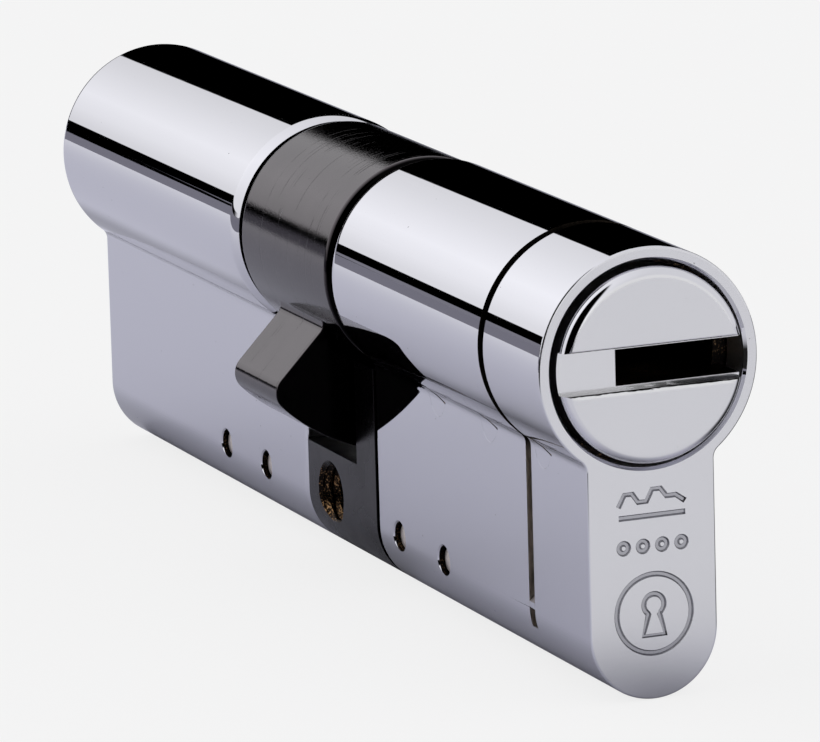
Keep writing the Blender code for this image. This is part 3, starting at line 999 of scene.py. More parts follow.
@dataclass
class Ground:
    """A material in the making: its nodes, its shader, and what a pattern may follow."""

    w: Wiring
    shader: Node
    place: Socket
    facing: tuple[Socket, ...]

    def colour(self, feed: Feed) -> None:
        """Feeds the shader's colour."""
        self.w.join(feed, self.shader.inputs["Base Color"])

    def rough(self, feed: Feed) -> None:
        """Feeds the shader's roughness."""
        self.w.join(feed, self.shader.inputs["Roughness"])

    def group(self, tree: bpy.types.NodeTree, **values: float) -> Node:
        """Places a shared effect and sets its inputs.

        Args:
            tree: The effect.
            values: The inputs to set, by their names in lower case.

        Returns:
            The group's node.
        """
        made = self.w.node("ShaderNodeGroup", node_tree=tree)
        self.w.join(self.place, made.inputs["Position"])
        for label, value in values.items():
            made.inputs[label.replace("_", " ").title()].default_value = value
        return made

    def bump(self, height: Feed, distance: float, strength: float = 1.0) -> None:
        """Feeds a height to the shader's normal, over what is there.

        Args:
            height: The height, from 0 to 1.
            distance: What a height of 1 stands for.
            strength: How much of the bump shows.
        """
        made = self.w.node("ShaderNodeBump")
        made.inputs["Strength"].default_value = strength
        made.inputs["Distance"].default_value = distance
        self.w.join(height, made.inputs["Height"])
        links = self.shader.inputs["Normal"].links
        if links:
            self.w.join(links[0].from_socket, made.inputs["Normal"])
        self.w.join(made.outputs["Normal"], self.shader.inputs["Normal"])


@dataclass(frozen=True)
class Finish:
    """A metal finish. Each kind adds its own detail to the same shader."""

    slot: str
    colour: Colour
    roughness: float

    def material(self) -> bpy.types.Material:
        """The finish's material, made the first time it is asked for.

        Returns:
            The material, which all pieces with this finish share.
        """
        name = f"{self.slot}_{type(self).__name__.lower()}_{self.roughness:g}"
        known = bpy.data.materials.get(name)
        if known:
            return known
        made = bpy.data.materials.new(name)
        made.use_nodes = True
        wiring = Wiring(made.node_tree)
        shader = made.node_tree.nodes["Principled BSDF"]
        shader.inputs["Metallic"].default_value = 1.0
        seen = wiring.node("ShaderNodeTexCoord").outputs
        self.dress(Ground(wiring, shader, seen["Object"], wiring.parts(seen["Normal"])))
        return made

    def dress(self, on: Ground) -> None:
        """Feeds the shader's colour, roughness and normal."""
        raise NotImplementedError

    def rgba(self, factor: float = 1.0, tint: Colour = (1.0, 1.0, 1.0)) -> tuple[float, ...]:
        """The finish's colour, made lighter or darker and tinted."""
        return (*(channel * factor * t for channel, t in zip(self.colour, tint)), 1.0)

    def spread(self, on: Ground, pattern: Feed, low: float, high: float) -> Socket:
        """The roughness, times a factor that runs from low to high as a pattern rises."""
        return on.w.between(pattern, 0.3, 0.7, self.roughness * low, self.roughness * high)


@dataclass(frozen=True)
class PolishedChrome(Finish):
    """Mirror chrome on the flanks and barrel, with finely ground, brighter end faces."""

    face_colour: Colour = (0.68, 0.68, 0.69)
    face_roughness: float = 0.17
    face_turn: tuple[float, float] = (0.90, 0.97)
    brush: Colour = (700.0, 700.0, 5200.0)
    brush_depth: float = 0.004 * MM
    swell_depth: float = 0.012 * MM
    haze: float = 0.12
    wiping: float = 0.035

    def dress(self, on: Ground) -> None:
        """End faces are where the surface looks along Y.

        Args:
            on: The material in the making.
        """
        w, polish = on.w, on.group(polish_effect()).outputs
        face = w.between(w.math("ABSOLUTE", on.facing[1]), *self.face_turn)
        brushed = w.noise(w.stretched(on.place, self.brush), 1.0, 3.0)
        skin = w.blend(face, self.rgba(), (*self.face_colour, 1.0))
        hazed = w.blend(w.math("MULTIPLY", polish["Haze"], self.haze), skin, self.rgba(0.9))
        on.colour(w.blend(polish["Specks"], hazed, self.rgba(0.25)))
        wiped = w.math("MULTIPLY", polish["Marks"], self.wiping)
        mirror = w.math("ADD", w.math("MULTIPLY", polish["Haze"], self.roughness), wiped)
        satin = w.between(brushed, 0.2, 0.8, self.face_roughness * 0.8, self.face_roughness * 1.2)
        rough = w.node("ShaderNodeMix", data_type="FLOAT")
        for socket, feed in ((0, face), (2, mirror), (3, satin)):
            w.join(feed, rough.inputs[socket])
        on.rough(rough.outputs[0])
        on.bump(polish["Swell"], self.swell_depth, 0.35)
        on.bump(w.math("MULTIPLY", brushed, face), self.brush_depth, 0.5)


@dataclass(frozen=True)
class BlackenedSteel(Finish):
    """Dark oxide over turned steel: turning lines, a pebbled skin, pits, and painted shade under and at
    ends.
    """

    lathe: float = 1.0
    # painted shade: faces that look along Y, such as the lug's front and the ring's rims, are darkened to
    # near black
    end_shade: float = 0.02
    end_turn: tuple[float, float] = (0.25, 0.75)
    # painted shade: what faces down is darkened and slightly tinted
    under_shade: float = 0.24
    under_turn: tuple[float, float] = (-0.50, 0.32)
    skin_depth: float = 0.006 * MM
    line_depth: float = 0.0012 * MM
    groove_depth: float = -0.005 * MM

    def dress(self, on: Ground) -> None:
        """End faces get painted shade near black, and what faces down gets painted shade darker than what
        faces up.

        Args:
            on: The material in the making.
        """
        w = on.w
        lathe, skin = on.group(lathe_effect()).outputs, on.group(tumble_effect()).outputs
        end = w.between(w.math("ABSOLUTE", on.facing[1]), *self.end_turn)
        tone = w.blend(skin["Patches"], self.rgba(0.84), self.rgba(1.14, (1.02, 0.99, 0.99)))
        grooves = w.math("MULTIPLY", lathe["Grooves"], 0.55 * self.lathe)
        lined = w.blend(grooves, tone, self.rgba(0.3))
        pitted = w.blend(skin["Pits"], lined, self.rgba(0.15))
        torn = w.math("MULTIPLY", w.math("SUBTRACT", skin["Skin"], 0.5), 0.5)
        # painted shade: the darkening grows as the face turns down, with a torn edge
        under = w.between(w.math("ADD", on.facing[2], torn), *self.under_turn, 1.0, 0.0)
        shaded = w.blend(under, pitted, self.rgba(self.under_shade, (1.0, 0.93, 1.02)))
        # painted shade: the end faces turn near black
        on.colour(w.blend(end, shaded, self.rgba(self.end_shade)))
        on.rough(self.spread(on, skin["Patches"], 0.8, 1.25))
        on.bump(skin["Skin"], self.skin_depth, 0.8)
        on.bump(lathe["Lines"], self.line_depth, 0.8 * self.lathe)
        on.bump(lathe["Grooves"], self.groove_depth, 0.8 * self.lathe)


@dataclass(frozen=True)
class TurnedMetal(Finish):
    """Bright turned brass or steel with fine lines and slightly stained hollows."""

    stain: Colour = (0.35, 0.24, 0.14)
    lines: Colour = (9000.0, 9000.0, 16000.0)
    line_depth: float = 0.002 * MM

    def dress(self, on: Ground) -> None:
        """Stains follow a slow noise, and the lines a fast one.

        Args:
            on: The material in the making.
        """
        w, skin = on.w, on.group(tumble_effect(), grain=9000.0).outputs
        stained = w.between(skin["Patches"], 0.55, 0.75, 0.0, 0.4)
        on.colour(w.blend(stained, self.rgba(), (*self.stain, 1.0)))
        fine = w.noise(w.stretched(on.place, self.lines), 1.0)
        on.rough(w.between(fine, 0.2, 0.8, self.roughness * 0.7, self.roughness * 1.3))
        on.bump(fine, self.line_depth, 0.6)


@dataclass(frozen=True)
class Recess(Finish):
    """The unplated wall of a deep cut, painted near black as shade, with flecks of bare metal that also
    paint glints.
    """

    fleck: Colour = (0.30, 0.19, 0.10)
    share: float = 0.62
    skin_depth: float = 0.02 * MM

    def dress(self, on: Ground) -> None:
        """Flecks are where two sizes of noise together pass a level.

        Args:
            on: The material in the making.
        """
        w, skin = on.w, on.group(tumble_effect(), grain=7000.0).outputs
        mixed = w.math("ADD", skin["Skin"], w.math("MULTIPLY", skin["Patches"], 0.5))
        flecks = w.between(mixed, self.share + 0.20, self.share + 0.34)
        # painted shade: the near-black colour stands for shade in the cut; the flecks add bare metal and
        # painted glints
        on.colour(w.blend(flecks, self.rgba(), (*self.fleck, 1.0)))
        on.rough(self.spread(on, skin["Patches"], 1.0, 1.5))
        on.bump(skin["Skin"], self.skin_depth, 0.9)


@dataclass(frozen=True)
class MilledChannel(Finish):
    """The plug's face channel: a polished floor between torn walls of painted shade with painted glints."""

    # painted shade: the colour of the channel's walls
    wall: Colour = (0.02, 0.018, 0.018)
    drag: Colour = (900.0, 5200.0, 5200.0)
    tear_depth: float = 0.04 * MM

    def dress(self, on: Ground) -> None:
        """Walls face along Z, and noise drawn out along the channel tears their edge.

        Args:
            on: The material in the making.
        """
        w = on.w
        torn = w.noise(w.stretched(on.place, self.drag), 1.0, 3.0, 0.6)
        ragged = w.math("MULTIPLY", w.math("SUBTRACT", torn, 0.5), 0.9)
        wall = w.between(w.math("ADD", w.math("ABSOLUTE", on.facing[2]), ragged), 0.70, 0.78)
        # painted shade on the walls, broken by painted glints where the drawn-out noise is high
        dark = w.blend(w.between(torn, 0.60, 0.66), (*self.wall, 1.0), self.rgba(0.9))
        on.colour(w.blend(wall, self.rgba(), dark))
        on.rough(self.spread(on, torn, 0.8, 1.2))
        on.bump(w.math("MULTIPLY", torn, wall), self.tear_depth, 0.8)


@dataclass(frozen=True)
class SlitWall(Finish):
    """The sawn wall of the snap slit: bare metal on the flanks, and painted shade round the barrel, where it
    is near black.
    """

    bare: Colour = (0.62, 0.57, 0.51)
    fade: tuple[float, float] = (10.6 * MM, 12.4 * MM)
    saw: Colour = (4200.0, 9000.0, 700.0)
    saw_depth: float = 0.01 * MM

    def dress(self, on: Ground) -> None:
        """The bare metal ends in the fillet under the barrel, and saw marks run along the cut.

        Args:
            on: The material in the making.
        """
        w = on.w
        # painted shade: above the fade the wall keeps its near-black colour, which stands for shade in the
        # narrow cut
        low = w.between(w.parts(on.place)[2], *self.fade, 1.0, 0.0)
        marks = w.noise(w.stretched(on.place, self.saw), 1.0, 3.0)
        share = w.math("MULTIPLY", low, w.between(marks, 0.25, 0.6, 0.5, 1.0))
        on.colour(w.blend(share, self.rgba(), (*self.bare, 1.0)))
        on.rough(w.between(marks, 0.2, 0.8, self.roughness, self.roughness * 1.6))
        on.bump(marks, self.saw_depth, 0.8)


CHROME = PolishedChrome("polished_chrome", (0.60, 0.60, 0.635), 0.03)
GUNMETAL = BlackenedSteel("gunmetal_steel", (0.080, 0.073, 0.078), 0.075)
BRIDGE = BlackenedSteel("gunmetal_steel", (0.017, 0.015, 0.017), 0.24, lathe=0.0)
BRASS = TurnedMetal("brass", (0.66, 0.46, 0.20), 0.28)
BRIGHT = TurnedMetal("bright_steel", (0.62, 0.61, 0.60), 0.22)
# painted shade in bores, chambers, slots, cross holes and the keyway; the polished-over seams also wear it
# as their dark joint
PAINTED_SHADE_RECESS = Recess("gunmetal_steel", (0.012, 0.010, 0.009), 0.30)
# painted shade with painted glints: the thread and its mouths are near black with brass-coloured flecks
PAINTED_SHADE_THREAD = Recess("gunmetal_steel", (0.008, 0.006, 0.005), 0.20, (0.36, 0.21, 0.10), 0.60)
SEAT_WALL = TurnedMetal("bright_steel", (0.80, 0.79, 0.80), 0.38, (0.20, 0.18, 0.17))
# painted shade: the sweeps round the cam, the bridge's notch and the end-face ring are near black
PAINTED_SHADE_BLACK = Recess("gunmetal_steel", (0.004, 0.004, 0.004), 0.34, (0.10, 0.09, 0.09), 0.75)
PIN_STEEL = TurnedMetal("bright_steel", (0.66, 0.61, 0.56), 0.42)
CHANNEL = MilledChannel("polished_chrome", (0.68, 0.68, 0.69), 0.17)
SLIT_WALL = SlitWall("bright_steel", (0.035, 0.028, 0.022), 0.28)
ENGRAVED = TurnedMetal("polished_chrome", (0.40, 0.40, 0.42), 0.20, (0.25, 0.25, 0.26))
SPRING = TurnedMetal("spring_steel", (0.42, 0.42, 0.44), 0.30, (0.20, 0.16, 0.12))


def dress(piece: Solid, finish: Finish) -> Solid:
    """Puts a finish on a piece's first slot, which all that no tool has cut wears.

    Args:
        piece: The piece.
        finish: The finish.

    Returns:
        The same piece.
    """
    if not piece.data.materials:
        piece.data.materials.append(finish.material())
    piece.data.materials[0] = finish.material()
    return piece


def hand_over(piece: Solid, node: str, finish: Finish) -> Solid:
    """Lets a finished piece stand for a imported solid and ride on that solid's body.

    Args:
        piece: The finished piece.
        node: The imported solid's name.
        finish: The finish that it wears.

    Returns:
        The same piece.
    """
    dress(piece, finish)
    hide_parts(node)
    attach(piece, str(bpy.data.objects[node]["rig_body"]))
    LOG.info("%s: %d faces", piece.name, len(piece.data.polygons))
    return piece


# Sub-assemblies


def stack_places(half: Half) -> list[float]:
    """How far each pin stack of a half stands from the centre."""
    return [abs(Box.of(f"{half.label}_key_pin_{n}").centre[1]) for n in range(1, 6)]


@dataclass
class Barrel:
    """Sizes that several sub-assemblies share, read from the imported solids."""

    profile: EuroProfile
    axis: Spindle
    length: float
    body_end: float

    @classmethod
    def measured(cls) -> Barrel:
        """Reads the barrel's radius, axis and ends from the bodies, and the flank from the bar.

        Returns:
            The sizes.
        """
        body, back, bar = Box.of("front_body"), Box.of("back_body"), Box.of("connecting_bar")
        radius, flank = body.size[0] / 2, bar.size[0] / 2
        axis = body.high[2] - radius
        profile = EuroProfile(radius, flank, axis, body.low[2] + flank)
        spindle = Spindle(np.array([0.0, 0.0, axis]), np.array([0.0, 1.0, 0.0]))
        return cls(profile, spindle, back.high[1], -body.high[1])

    def line(self, half: Half, point: Sequence[float], direction: Sequence[float]) -> Spindle:
        """A spindle laid out for the front half and carried to a half."""
        turn = half.frame()
        return Spindle(turn @ np.array(point, float), turn @ np.array(direction, float))

    def axle(self, half: Half) -> Spindle:
        """The barrel's axis, out through a half's key face."""
        return self.line(half, (0, 0, self.profile.axis), (0, -1, 0))

    def cross_lines(self, half: Half) -> list[Spindle]:
        """The lines of a half's two cross pins, along X."""
        centres = [Box.of(f"{half.label}_cross_pin_{n}").centre for n in (1, 2)]
        return [Spindle(np.array([0.0, c[1], c[2]]), np.array([1.0, 0.0, 0.0])) for c in centres]


@dataclass
class Engraving:
    """Plain marks cut in the key face: a bitting line, a row of dots and a keyhole in a ring."""

    face: float
    width: float = 0.42 * MM
    floor: float = 0.20 * MM
    depth: float = 0.16 * MM
    bitting_height: float = 9.1 * MM
    bitting_across: tuple[float, ...] = (-2.6, -2.1, -1.5, -1.05, -0.4, 0.05, 0.7, 1.15, 1.9, 2.6)
    bitting_up: tuple[float, ...] = (-0.2, 0.7, 0.7, 0.05, 0.05, 0.9, 0.9, 0.3, 0.3, -0.2)
    level_drop: float = 1.0 * MM
    dot_height: float = 5.9 * MM
    dot_pitch: float = 1.5 * MM
    dot_radius: float = 0.36 * MM
    ring_height: float = 0.9 * MM
    ring_radius: float = 2.9 * MM
    keyhole_radius: float = 0.78 * MM
    keyhole_rise: float = 0.65 * MM
    keyhole_turn: tuple[float, float] = (math.radians(-58), math.radians(238))
    skirt_half: float = 0.85 * MM
    skirt_drop: float = 1.6 * MM

    def groove(self, name: str, path: Array, closed: bool) -> Solid:
        """A groove with a narrow floor and steep walls.

        Args:
            name: The cutter's name.
            path: Its line on the face, as (X, Z) points.
            closed: Whether the line joins its own start.

        Returns:
            The cutter.
        """
        points = np.stack([path[:, 0], np.full(len(path), self.face), path[:, 1]], 1)
        normals = np.tile([0.0, -1.0, 0.0], (len(path), 1))
        floor, over = self.floor / 2, self.width - self.floor / 2
        edge = [[-self.depth, -floor], [-self.depth, floor], [self.depth, over], [self.depth, -over]]
        return dress(strip(name, points, normals, np.array(edge), closed), ENGRAVED)

    def ring(self, name: str, centre: tuple[float, float], radius: float) -> Solid:
        """A round groove."""
        return self.groove(name, arc(centre, radius, 0.0, TAU, 64)[:-1], True)

    def keyhole(self) -> Solid:
        """A keyhole's outline: most of a circle, and a skirt that widens downwards.

        Returns:
            The cutter.
        """
        top = (0.0, self.ring_height + self.keyhole_rise)
        circle = arc(top, self.keyhole_radius, *self.keyhole_turn, 36)
        low = self.ring_height - self.skirt_drop
        skirt = np.array([[-self.skirt_half, low], [self.skirt_half, low]])
        return self.groove("mark_keyhole", np.concatenate([circle, skirt]), True)

    def tools(self) -> list[Solid]:
        """All the marks' cutters, set out down the middle of the key face.

        Returns:
            The cutters.
        """
        up = self.bitting_height + np.array(self.bitting_up) * MM
        bitting = np.stack([np.array(self.bitting_across) * MM, up], 1)
        level = bitting[[0, -1]]
        level[:, 1] = self.bitting_height - self.level_drop
        made = [self.groove("mark_bitting", bitting, False), self.groove("mark_level", level, False)]
        for n in (-1.5, -0.5, 0.5, 1.5):
            centre = (n * self.dot_pitch, self.dot_height)
            made.append(self.ring(f"mark_dot_{n}", centre, self.dot_radius))
        made.append(self.ring("mark_ring", (0.0, self.ring_height), self.ring_radius))
        return [*made, self.keyhole()]


@dataclass
class Housing:
    """The two profiled bodies with their bores, chambers, loading holes, slit and plugs."""

    barrel: Barrel
    face_rim: float = 0.18 * MM
    far_rim: float = 0.8 * MM
    inner_rim: float = 0.3 * MM
    barrel_rim: float = 2.0 * MM
    barrel_roll: float = math.radians(36.0)
    bore: float = 6.5 * MM
    seat: float = 7.5 * MM
    seat_depth: float = 3.35 * MM
    seat_shelf: float = 0.3 * MM
    seat_break: float = 0.22 * MM
    sweep: float = 8.95 * MM
    # painted shade: a shallow ring cut in the end face beside the cam, dressed near black
    bare_end: tuple[float, float] = (6.6 * MM, 8.7 * MM)
    bare_depth: float = 0.03 * MM
    slit_near: float = 38.9 * MM
    slit_width: float = 1.0 * MM
    slit_depth: float = 1.25 * MM
    slit_bottom: float = -1.9 * MM
    slit_over: float = 0.4 * MM
    chamber: float = 1.5 * MM
    chamber_floor: float = 0.4 * MM
    wide_plug: float = 2.0 * MM
    wide_seat: float = 1.3 * MM
    wide_head: float = 1.1 * MM
    plug_neck: float = 1.35 * MM
    plug_gap: float = 0.035 * MM
    plug_inset: float = 0.002 * MM
    loaded: tuple[int, ...] = (0, 2, 4)
    loading: float = 1.75 * MM
    loading_past: float = 4.0 * MM
    loading_floor: float = 0.4 * MM
    side_angle: float = math.radians(50.0)
    hidden_gap: float = 0.006 * MM
    cross_radius: float = 1.15 * MM
    cross_break: float = 0.11 * MM
    cross_inset: float = 0.34 * MM
    pin_edge: float = 0.15 * MM
    pin_dome: tuple[float, float] = (0.45 * MM, 0.03 * MM)
    slash_length: float = 3.3 * MM
    slash_width: float = 0.07 * MM
    pit: tuple[tuple[float, float], ...] = ((0.0, -0.12), (0.09, -0.03), (0.13, 0.1), (0.0, 0.1))
    room_half: float = 3.2 * MM
    room_height: tuple[float, float] = (-3.7 * MM, 2.7 * MM)
    room_gap: float = 0.3 * MM

    @property
    def underside(self) -> float:
        """The height of the section's lowest point."""
        return self.barrel.profile.foot - self.barrel.profile.flank

    def bore_tools(self, half: Half) -> list[Solid]:
        """The plug's bore with the floor of its head's seat, the seat's wall, and its broken edge.

        Args:
            half: The half they are for.

        Returns:
            The cutters.
        """
        far, near = self.barrel.length, self.barrel.body_end - 2 * MM
        floor, edge, wall = far - self.seat_depth, self.seat_break, self.seat
        shelf = floor + self.seat_shelf
        lap, past = shelf - 0.1 * MM, far + MM
        bore = [(0.0, shelf), (wall, shelf), (wall, floor), (self.bore, floor)]
        bore += [(self.bore, near), (0.0, near)]
        seat = [(0.0, past), (wall, past), (wall, lap), (0.0, lap)]
        mouth = [(0.0, past), (wall + edge + MM, past), (wall, far - edge), (0.0, far - edge)]
        parts = (("bore", bore, PAINTED_SHADE_RECESS), ("seat", seat, SEAT_WALL), ("mouth", mouth, CHROME))
        axle = self.barrel.axle(half)
        return [dress(turning(f"{half.label}_{n}", axle, s, 192), finish) for n, s, finish in parts]

    def end_tools(self, half: Half) -> list[Solid]:
        """What works the barrel's end beside the cam: a rounding ring, and a shallow ring of painted shade
        on the end face.

        The first one's section is square outside and hollow inside. The hollow is an arc that
        leaves the barrel's surface and stops at its end face, and a block keeps it off the flanks.

        Args:
            half: The half they are for.

        Returns:
            The cutters.
        """
        profile, end, r = self.barrel.profile, self.barrel.body_end, self.barrel_rim
        axle = self.barrel.axle(half)
        start, low = end + r * math.sin(self.barrel_roll), end - MM
        roll = arc((profile.barrel - r, start), r, -self.barrel_roll, 0.0, 10)
        out = profile.barrel + 0.015 * MM
        section = [*map(tuple, roll), (out, start), (out, low), (roll[0][0], low)]
        ring = dress(turning(f"{half.label}_rim", axle, section, 192), CHROME)
        corner = np.array([profile.flank, self.barrel.length, profile.axis - profile.drop])
        carve(ring, [dress(block("throat", corner * [-1, -1, 0], corner), CHROME)])
        inner, outer = self.bare_end
        high = end + self.bare_depth
        section = [(inner, low), (outer, low), (outer, high), (inner, high)]
        # the second ring carries painted shade onto the end face
        return [ring, dress(turning(f"{half.label}_bare_end", axle, section, 192), PAINTED_SHADE_BLACK)]

    def chamber_tools(self, half: Half) -> list[Solid]:
        """Pin chambers, the wide seats under two of them, and the loading holes in the fillet.

        Args:
            half: The half they are for.

        Returns:
            The cutters.
        """
        made, under = [], self.underside
        for n, place in enumerate(stack_places(half)):
            up = self.barrel.line(half, (0, -place, 0), (0, 0, 1))
            low = self.chamber_floor if n == 4 else under - MM
            high = self.barrel.profile.axis
            made.append(rod(f"{half.label}_chamber_{n}", up, self.chamber, low, high, 32))
            plug = n < 4 and Box.of(f"{half.label}_chamber_plug_{n + 1}").size[1] / 2 + self.plug_gap
            if plug > self.wide_plug:
                high = under + self.wide_seat
                made.append(rod(f"{half.label}_wide_seat_{n}", up, plug, under - MM, high, 96))
        made = [dress(tool, PAINTED_SHADE_RECESS) for tool in made]
        holes = [self.loading_drum(half, n, self.hidden_gap, -MM) for n in self.loaded]
        return made + [dress(tool, CHROME) for tool in holes]

    def slash_tools(self, half: Half, n: int) -> list[Solid]:
        """What polishing leaves of a loading plug's outline: a slash down the fillet, and two pits.

        The slash runs down the fillet's arc by an angle that falls as the distance along Y grows.

        Args:
            half: The half they are for.
            n: The stack's number, from 0.

        Returns:
            The cutters.
        """
        profile, turn = self.barrel.profile, half.frame()
        share = np.linspace(0.06, 0.94, 12)
        angle = -profile.tangent * (1 - share)
        flat = np.stack([np.cos(angle), np.sin(angle)], 1)
        along = -stack_places(half)[n] + self.slash_length * (0.5 - share)
        surface = profile.fillet * flat + [-profile.reach, profile.axis - profile.drop]
        path = np.stack([surface[:, 0], along, surface[:, 1]], 1) @ turn
        out = np.stack([-flat[:, 0], np.zeros(len(flat)), -flat[:, 1]], 1) @ turn
        w = self.slash_width
        section = np.array([[-w, 0.0], [w, 2 * w], [w, -2 * w]])
        made = [strip(f"{half.label}_slash_{n}", path, out, section, False)]
        pit = np.array(self.pit) * MM
        for end in (0, -1):
            made.append(turning(f"{half.label}_pit_{n}_{end}", Spindle(path[end], out[end]), pit, 16))
        return [dress(tool, PAINTED_SHADE_RECESS) for tool in made]

    def loading_line(self, half: Half, n: int) -> Spindle:
        """The line of a loading hole, from the barrel's axis out through the fillet."""
        slope = (-math.cos(self.side_angle), 0, -math.sin(self.side_angle))
        return self.barrel.line(half, (0, -stack_places(half)[n], self.barrel.profile.axis), slope)

    def loading_drum(self, half: Half, n: int, gap: float, low: float) -> Solid:
        """A short drum on a loading hole's line.

        Args:
            half: The half it is for.
            n: The stack's number, from 0.
            gap: What is added to its radius.
            low: Where it starts, past the bore's surface.

        Returns:
            The drum.
        """
        line, radius = self.loading_line(half, n), self.loading + gap
        low, high = self.bore + low, self.bore + self.loading_past
        return rod(f"{half.label}_loading_{n}", line, radius, low, high, 72)

    def cross_tools(self, half: Half) -> list[Solid]:
        """The cross pins' dark holes, and the broken edges that the polish reaches.

        Args:
            half: The half they are for.

        Returns:
            The cutters.
        """
        flank, r, edge = self.barrel.profile.flank, self.cross_radius, self.cross_break
        past, near = flank + MM, flank - edge
        mouth = [(0.0, near), (r, near), (r + edge + MM, past), (0.0, past)]
        made = []
        for n, line in enumerate(self.barrel.cross_lines(half)):
            made.append(dress(rod(f"{half.label}_cross_{n}", line, r, -past, past), PAINTED_SHADE_RECESS))
            for side in (-1.0, 1.0):
                place = Spindle(line.point, side * line.direction)
                made.append(dress(turning(f"{half.label}_mouth_{n}", place, mouth, 64), CHROME))
        return made

    def slot_tool(self, half: Half) -> Solid:
        """Room for the connecting bar's tongue.

        Args:
            half: The half it is for.

        Returns:
            The cutter.
        """
        tongue = Box.of("connecting_bar")
        reach = tongue.high[1] if half is Half.BACK else -tongue.low[1]
        near, far = sorted((0.0, half.side * (reach + self.room_gap)))
        across, (low, high) = self.room_half, self.room_height
        room = block(f"{half.label}_slot", (-across, near, low), (across, far, high))
        return dress(room, PAINTED_SHADE_RECESS)

    def slit_tool(self) -> Solid:
        """The snap slit: a strip that follows the section from flank to flank over the barrel.

        Returns:
            The cutter.
        """
        profile, half = self.barrel.profile, self.slit_width / 2
        outline = profile.outline()
        keep = outline.points[:, 1] > profile.foot
        right = np.array([[profile.flank, self.slit_bottom]])
        left = right * [-1.0, 1.0]
        path = np.concatenate([right, outline.points[keep], left])
        normals = np.concatenate([[[1.0, 0.0]], outline.normals[keep], [[-1.0, 0.0]]])
        level = np.full(len(path), -self.slit_near - half)
        points = np.stack([path[:, 0], level, path[:, 1]], 1)
        outward = np.stack([normals[:, 0], np.zeros(len(path)), normals[:, 1]], 1)
        over, deep = self.slit_over, -self.slit_depth
        section = np.array([[over, -half], [over, half], [deep, half], [deep, -half]])
        return dress(strip("snap_slit", points, outward, section, False), SLIT_WALL)

    def body(self, half: Half) -> Solid:
        """One body, made, carved and shaded.

        Args:
            half: The half.

        Returns:
            The body.
        """
        end, length, front = self.barrel.body_end, self.barrel.length, half is Half.FRONT
        near = end if front else Box.of("back_body").low[1]
        ends = sorted((half.side * near, half.side * length))
        rims = (self.face_rim, self.inner_rim) if front else (self.inner_rim, self.far_rim)
        shell = prism(f"{half.label}_body_shell", self.barrel.profile.outline(), *ends, rims)
        made = dress(shell, CHROME)
        tools = [*self.bore_tools(half), self.slot_tool(half)]
        tools += [*self.chamber_tools(half), *self.cross_tools(half)]
        for n in self.loaded:
            tools += self.slash_tools(half, n)
        if front:
            tools += [self.slit_tool(), *Engraving(-length).tools()]
        else:
            # painted shade: the sweep beside the cam is dressed near black
            sweep = rod("sweep", self.barrel.axis, self.sweep, -2 * MM, end, 192)
            tools.insert(0, dress(sweep, PAINTED_SHADE_BLACK))
        carve(made, tools + self.end_tools(half))
        shade(made, self.body_shapes(half, ends, rims))
        return hand_over(made, f"{half.label}_body", CHROME)

    def body_shapes(self, half: Half, ends: Sequence[float], rims: tuple[float, float]) -> list[Shape]:
        """The shapes that a body's faces lie on.

        Args:
            half: The half.
            ends: The body's lower and higher Y.
            rims: The roundings there.

        Returns:
            The shapes, the outer surface first.
        """
        barrel, profile = self.barrel, self.barrel.profile
        axle = barrel.axle(half)
        start = barrel.body_end + self.barrel_rim * math.sin(self.barrel_roll)
        shapes: list[Shape] = [
            Rolled(axle, profile.barrel - self.barrel_rim, start, self.barrel_rim),
            Profiled(profile, *ends, rims),
        ]
        if half is Half.FRONT:
            shapes.append(Profiled(profile, *ends, inset=self.slit_depth))
        shapes.append(Turned(axle, self.bore - 0.2 * MM, self.sweep + 0.25 * MM))
        for place in stack_places(half):
            up = barrel.line(half, (0, -place, 0), (0, 0, 1))
            shapes.append(Turned(up, self.chamber - 0.2 * MM, 2 * self.chamber))
        drums = [self.loading_line(half, n) for n in self.loaded]
        shapes += [Turned(line, self.loading - 0.15 * MM, self.loading + 0.25 * MM) for line in drums]
        holes = barrel.cross_lines(half)
        near, far = self.cross_radius - 0.05 * MM, self.cross_radius + 0.25 * MM
        return shapes + [Turned(line, near, far) for line in holes]

    def closing_plugs(self, half: Half) -> None:
        """The plugs that close the chambers and loading holes, flush with the section.

        Args:
            half: The half they are for.
        """
        barrel, profile, low = self.barrel, self.barrel.profile, self.underside - MM
        ends = sorted((half.side * barrel.body_end, half.side * barrel.length))
        outline = profile.outline()
        core = Outline(outline.points - self.plug_inset * outline.normals, outline.normals)
        skin = Profiled(profile, *ends, inset=self.plug_inset)
        for n in range(4):
            name = f"{half.label}_chamber_plug_{n + 1}"
            box = Box.of(name)
            up = barrel.line(half, (0, -stack_places(half)[n], 0), (0, 0, 1))
            radius, top = box.size[1] / 2, box.high[2]
            section = [(0.0, low), (radius, low), (radius, top), (0.0, top)]
            if radius > self.wide_plug:
                head, neck = self.underside + self.wide_head, self.plug_neck
                section[2:3] = [(radius, head), (neck, head), (neck, top)]
            made = dress(turning(f"{name}_turned", up, section), CHROME)
            carve(made, [dress(prism("core", core, *ends), CHROME)], Cut.KEEP)
            shade(made, [skin, Turned(up, self.plug_neck - 0.15 * MM, 3 * MM)])
            hand_over(made, name, CHROME)
        for count, n in enumerate(self.loaded):
            name = f"{half.label}_side_plug_{count + 1}"
            made = self.loading_drum(half, n, 0.0, self.loading_floor)
            made.name = made.data.name = f"{name}_turned"
            carve(dress(made, CHROME), [dress(prism("core", core, *ends), CHROME)], Cut.KEEP)
            carve(made, self.slash_tools(half, n))
            near, far = self.loading - 0.25 * MM, self.loading + 0.25 * MM
            shade(made, [skin, Turned(self.loading_line(half, n), near, far)])
            hand_over(made, name, CHROME)

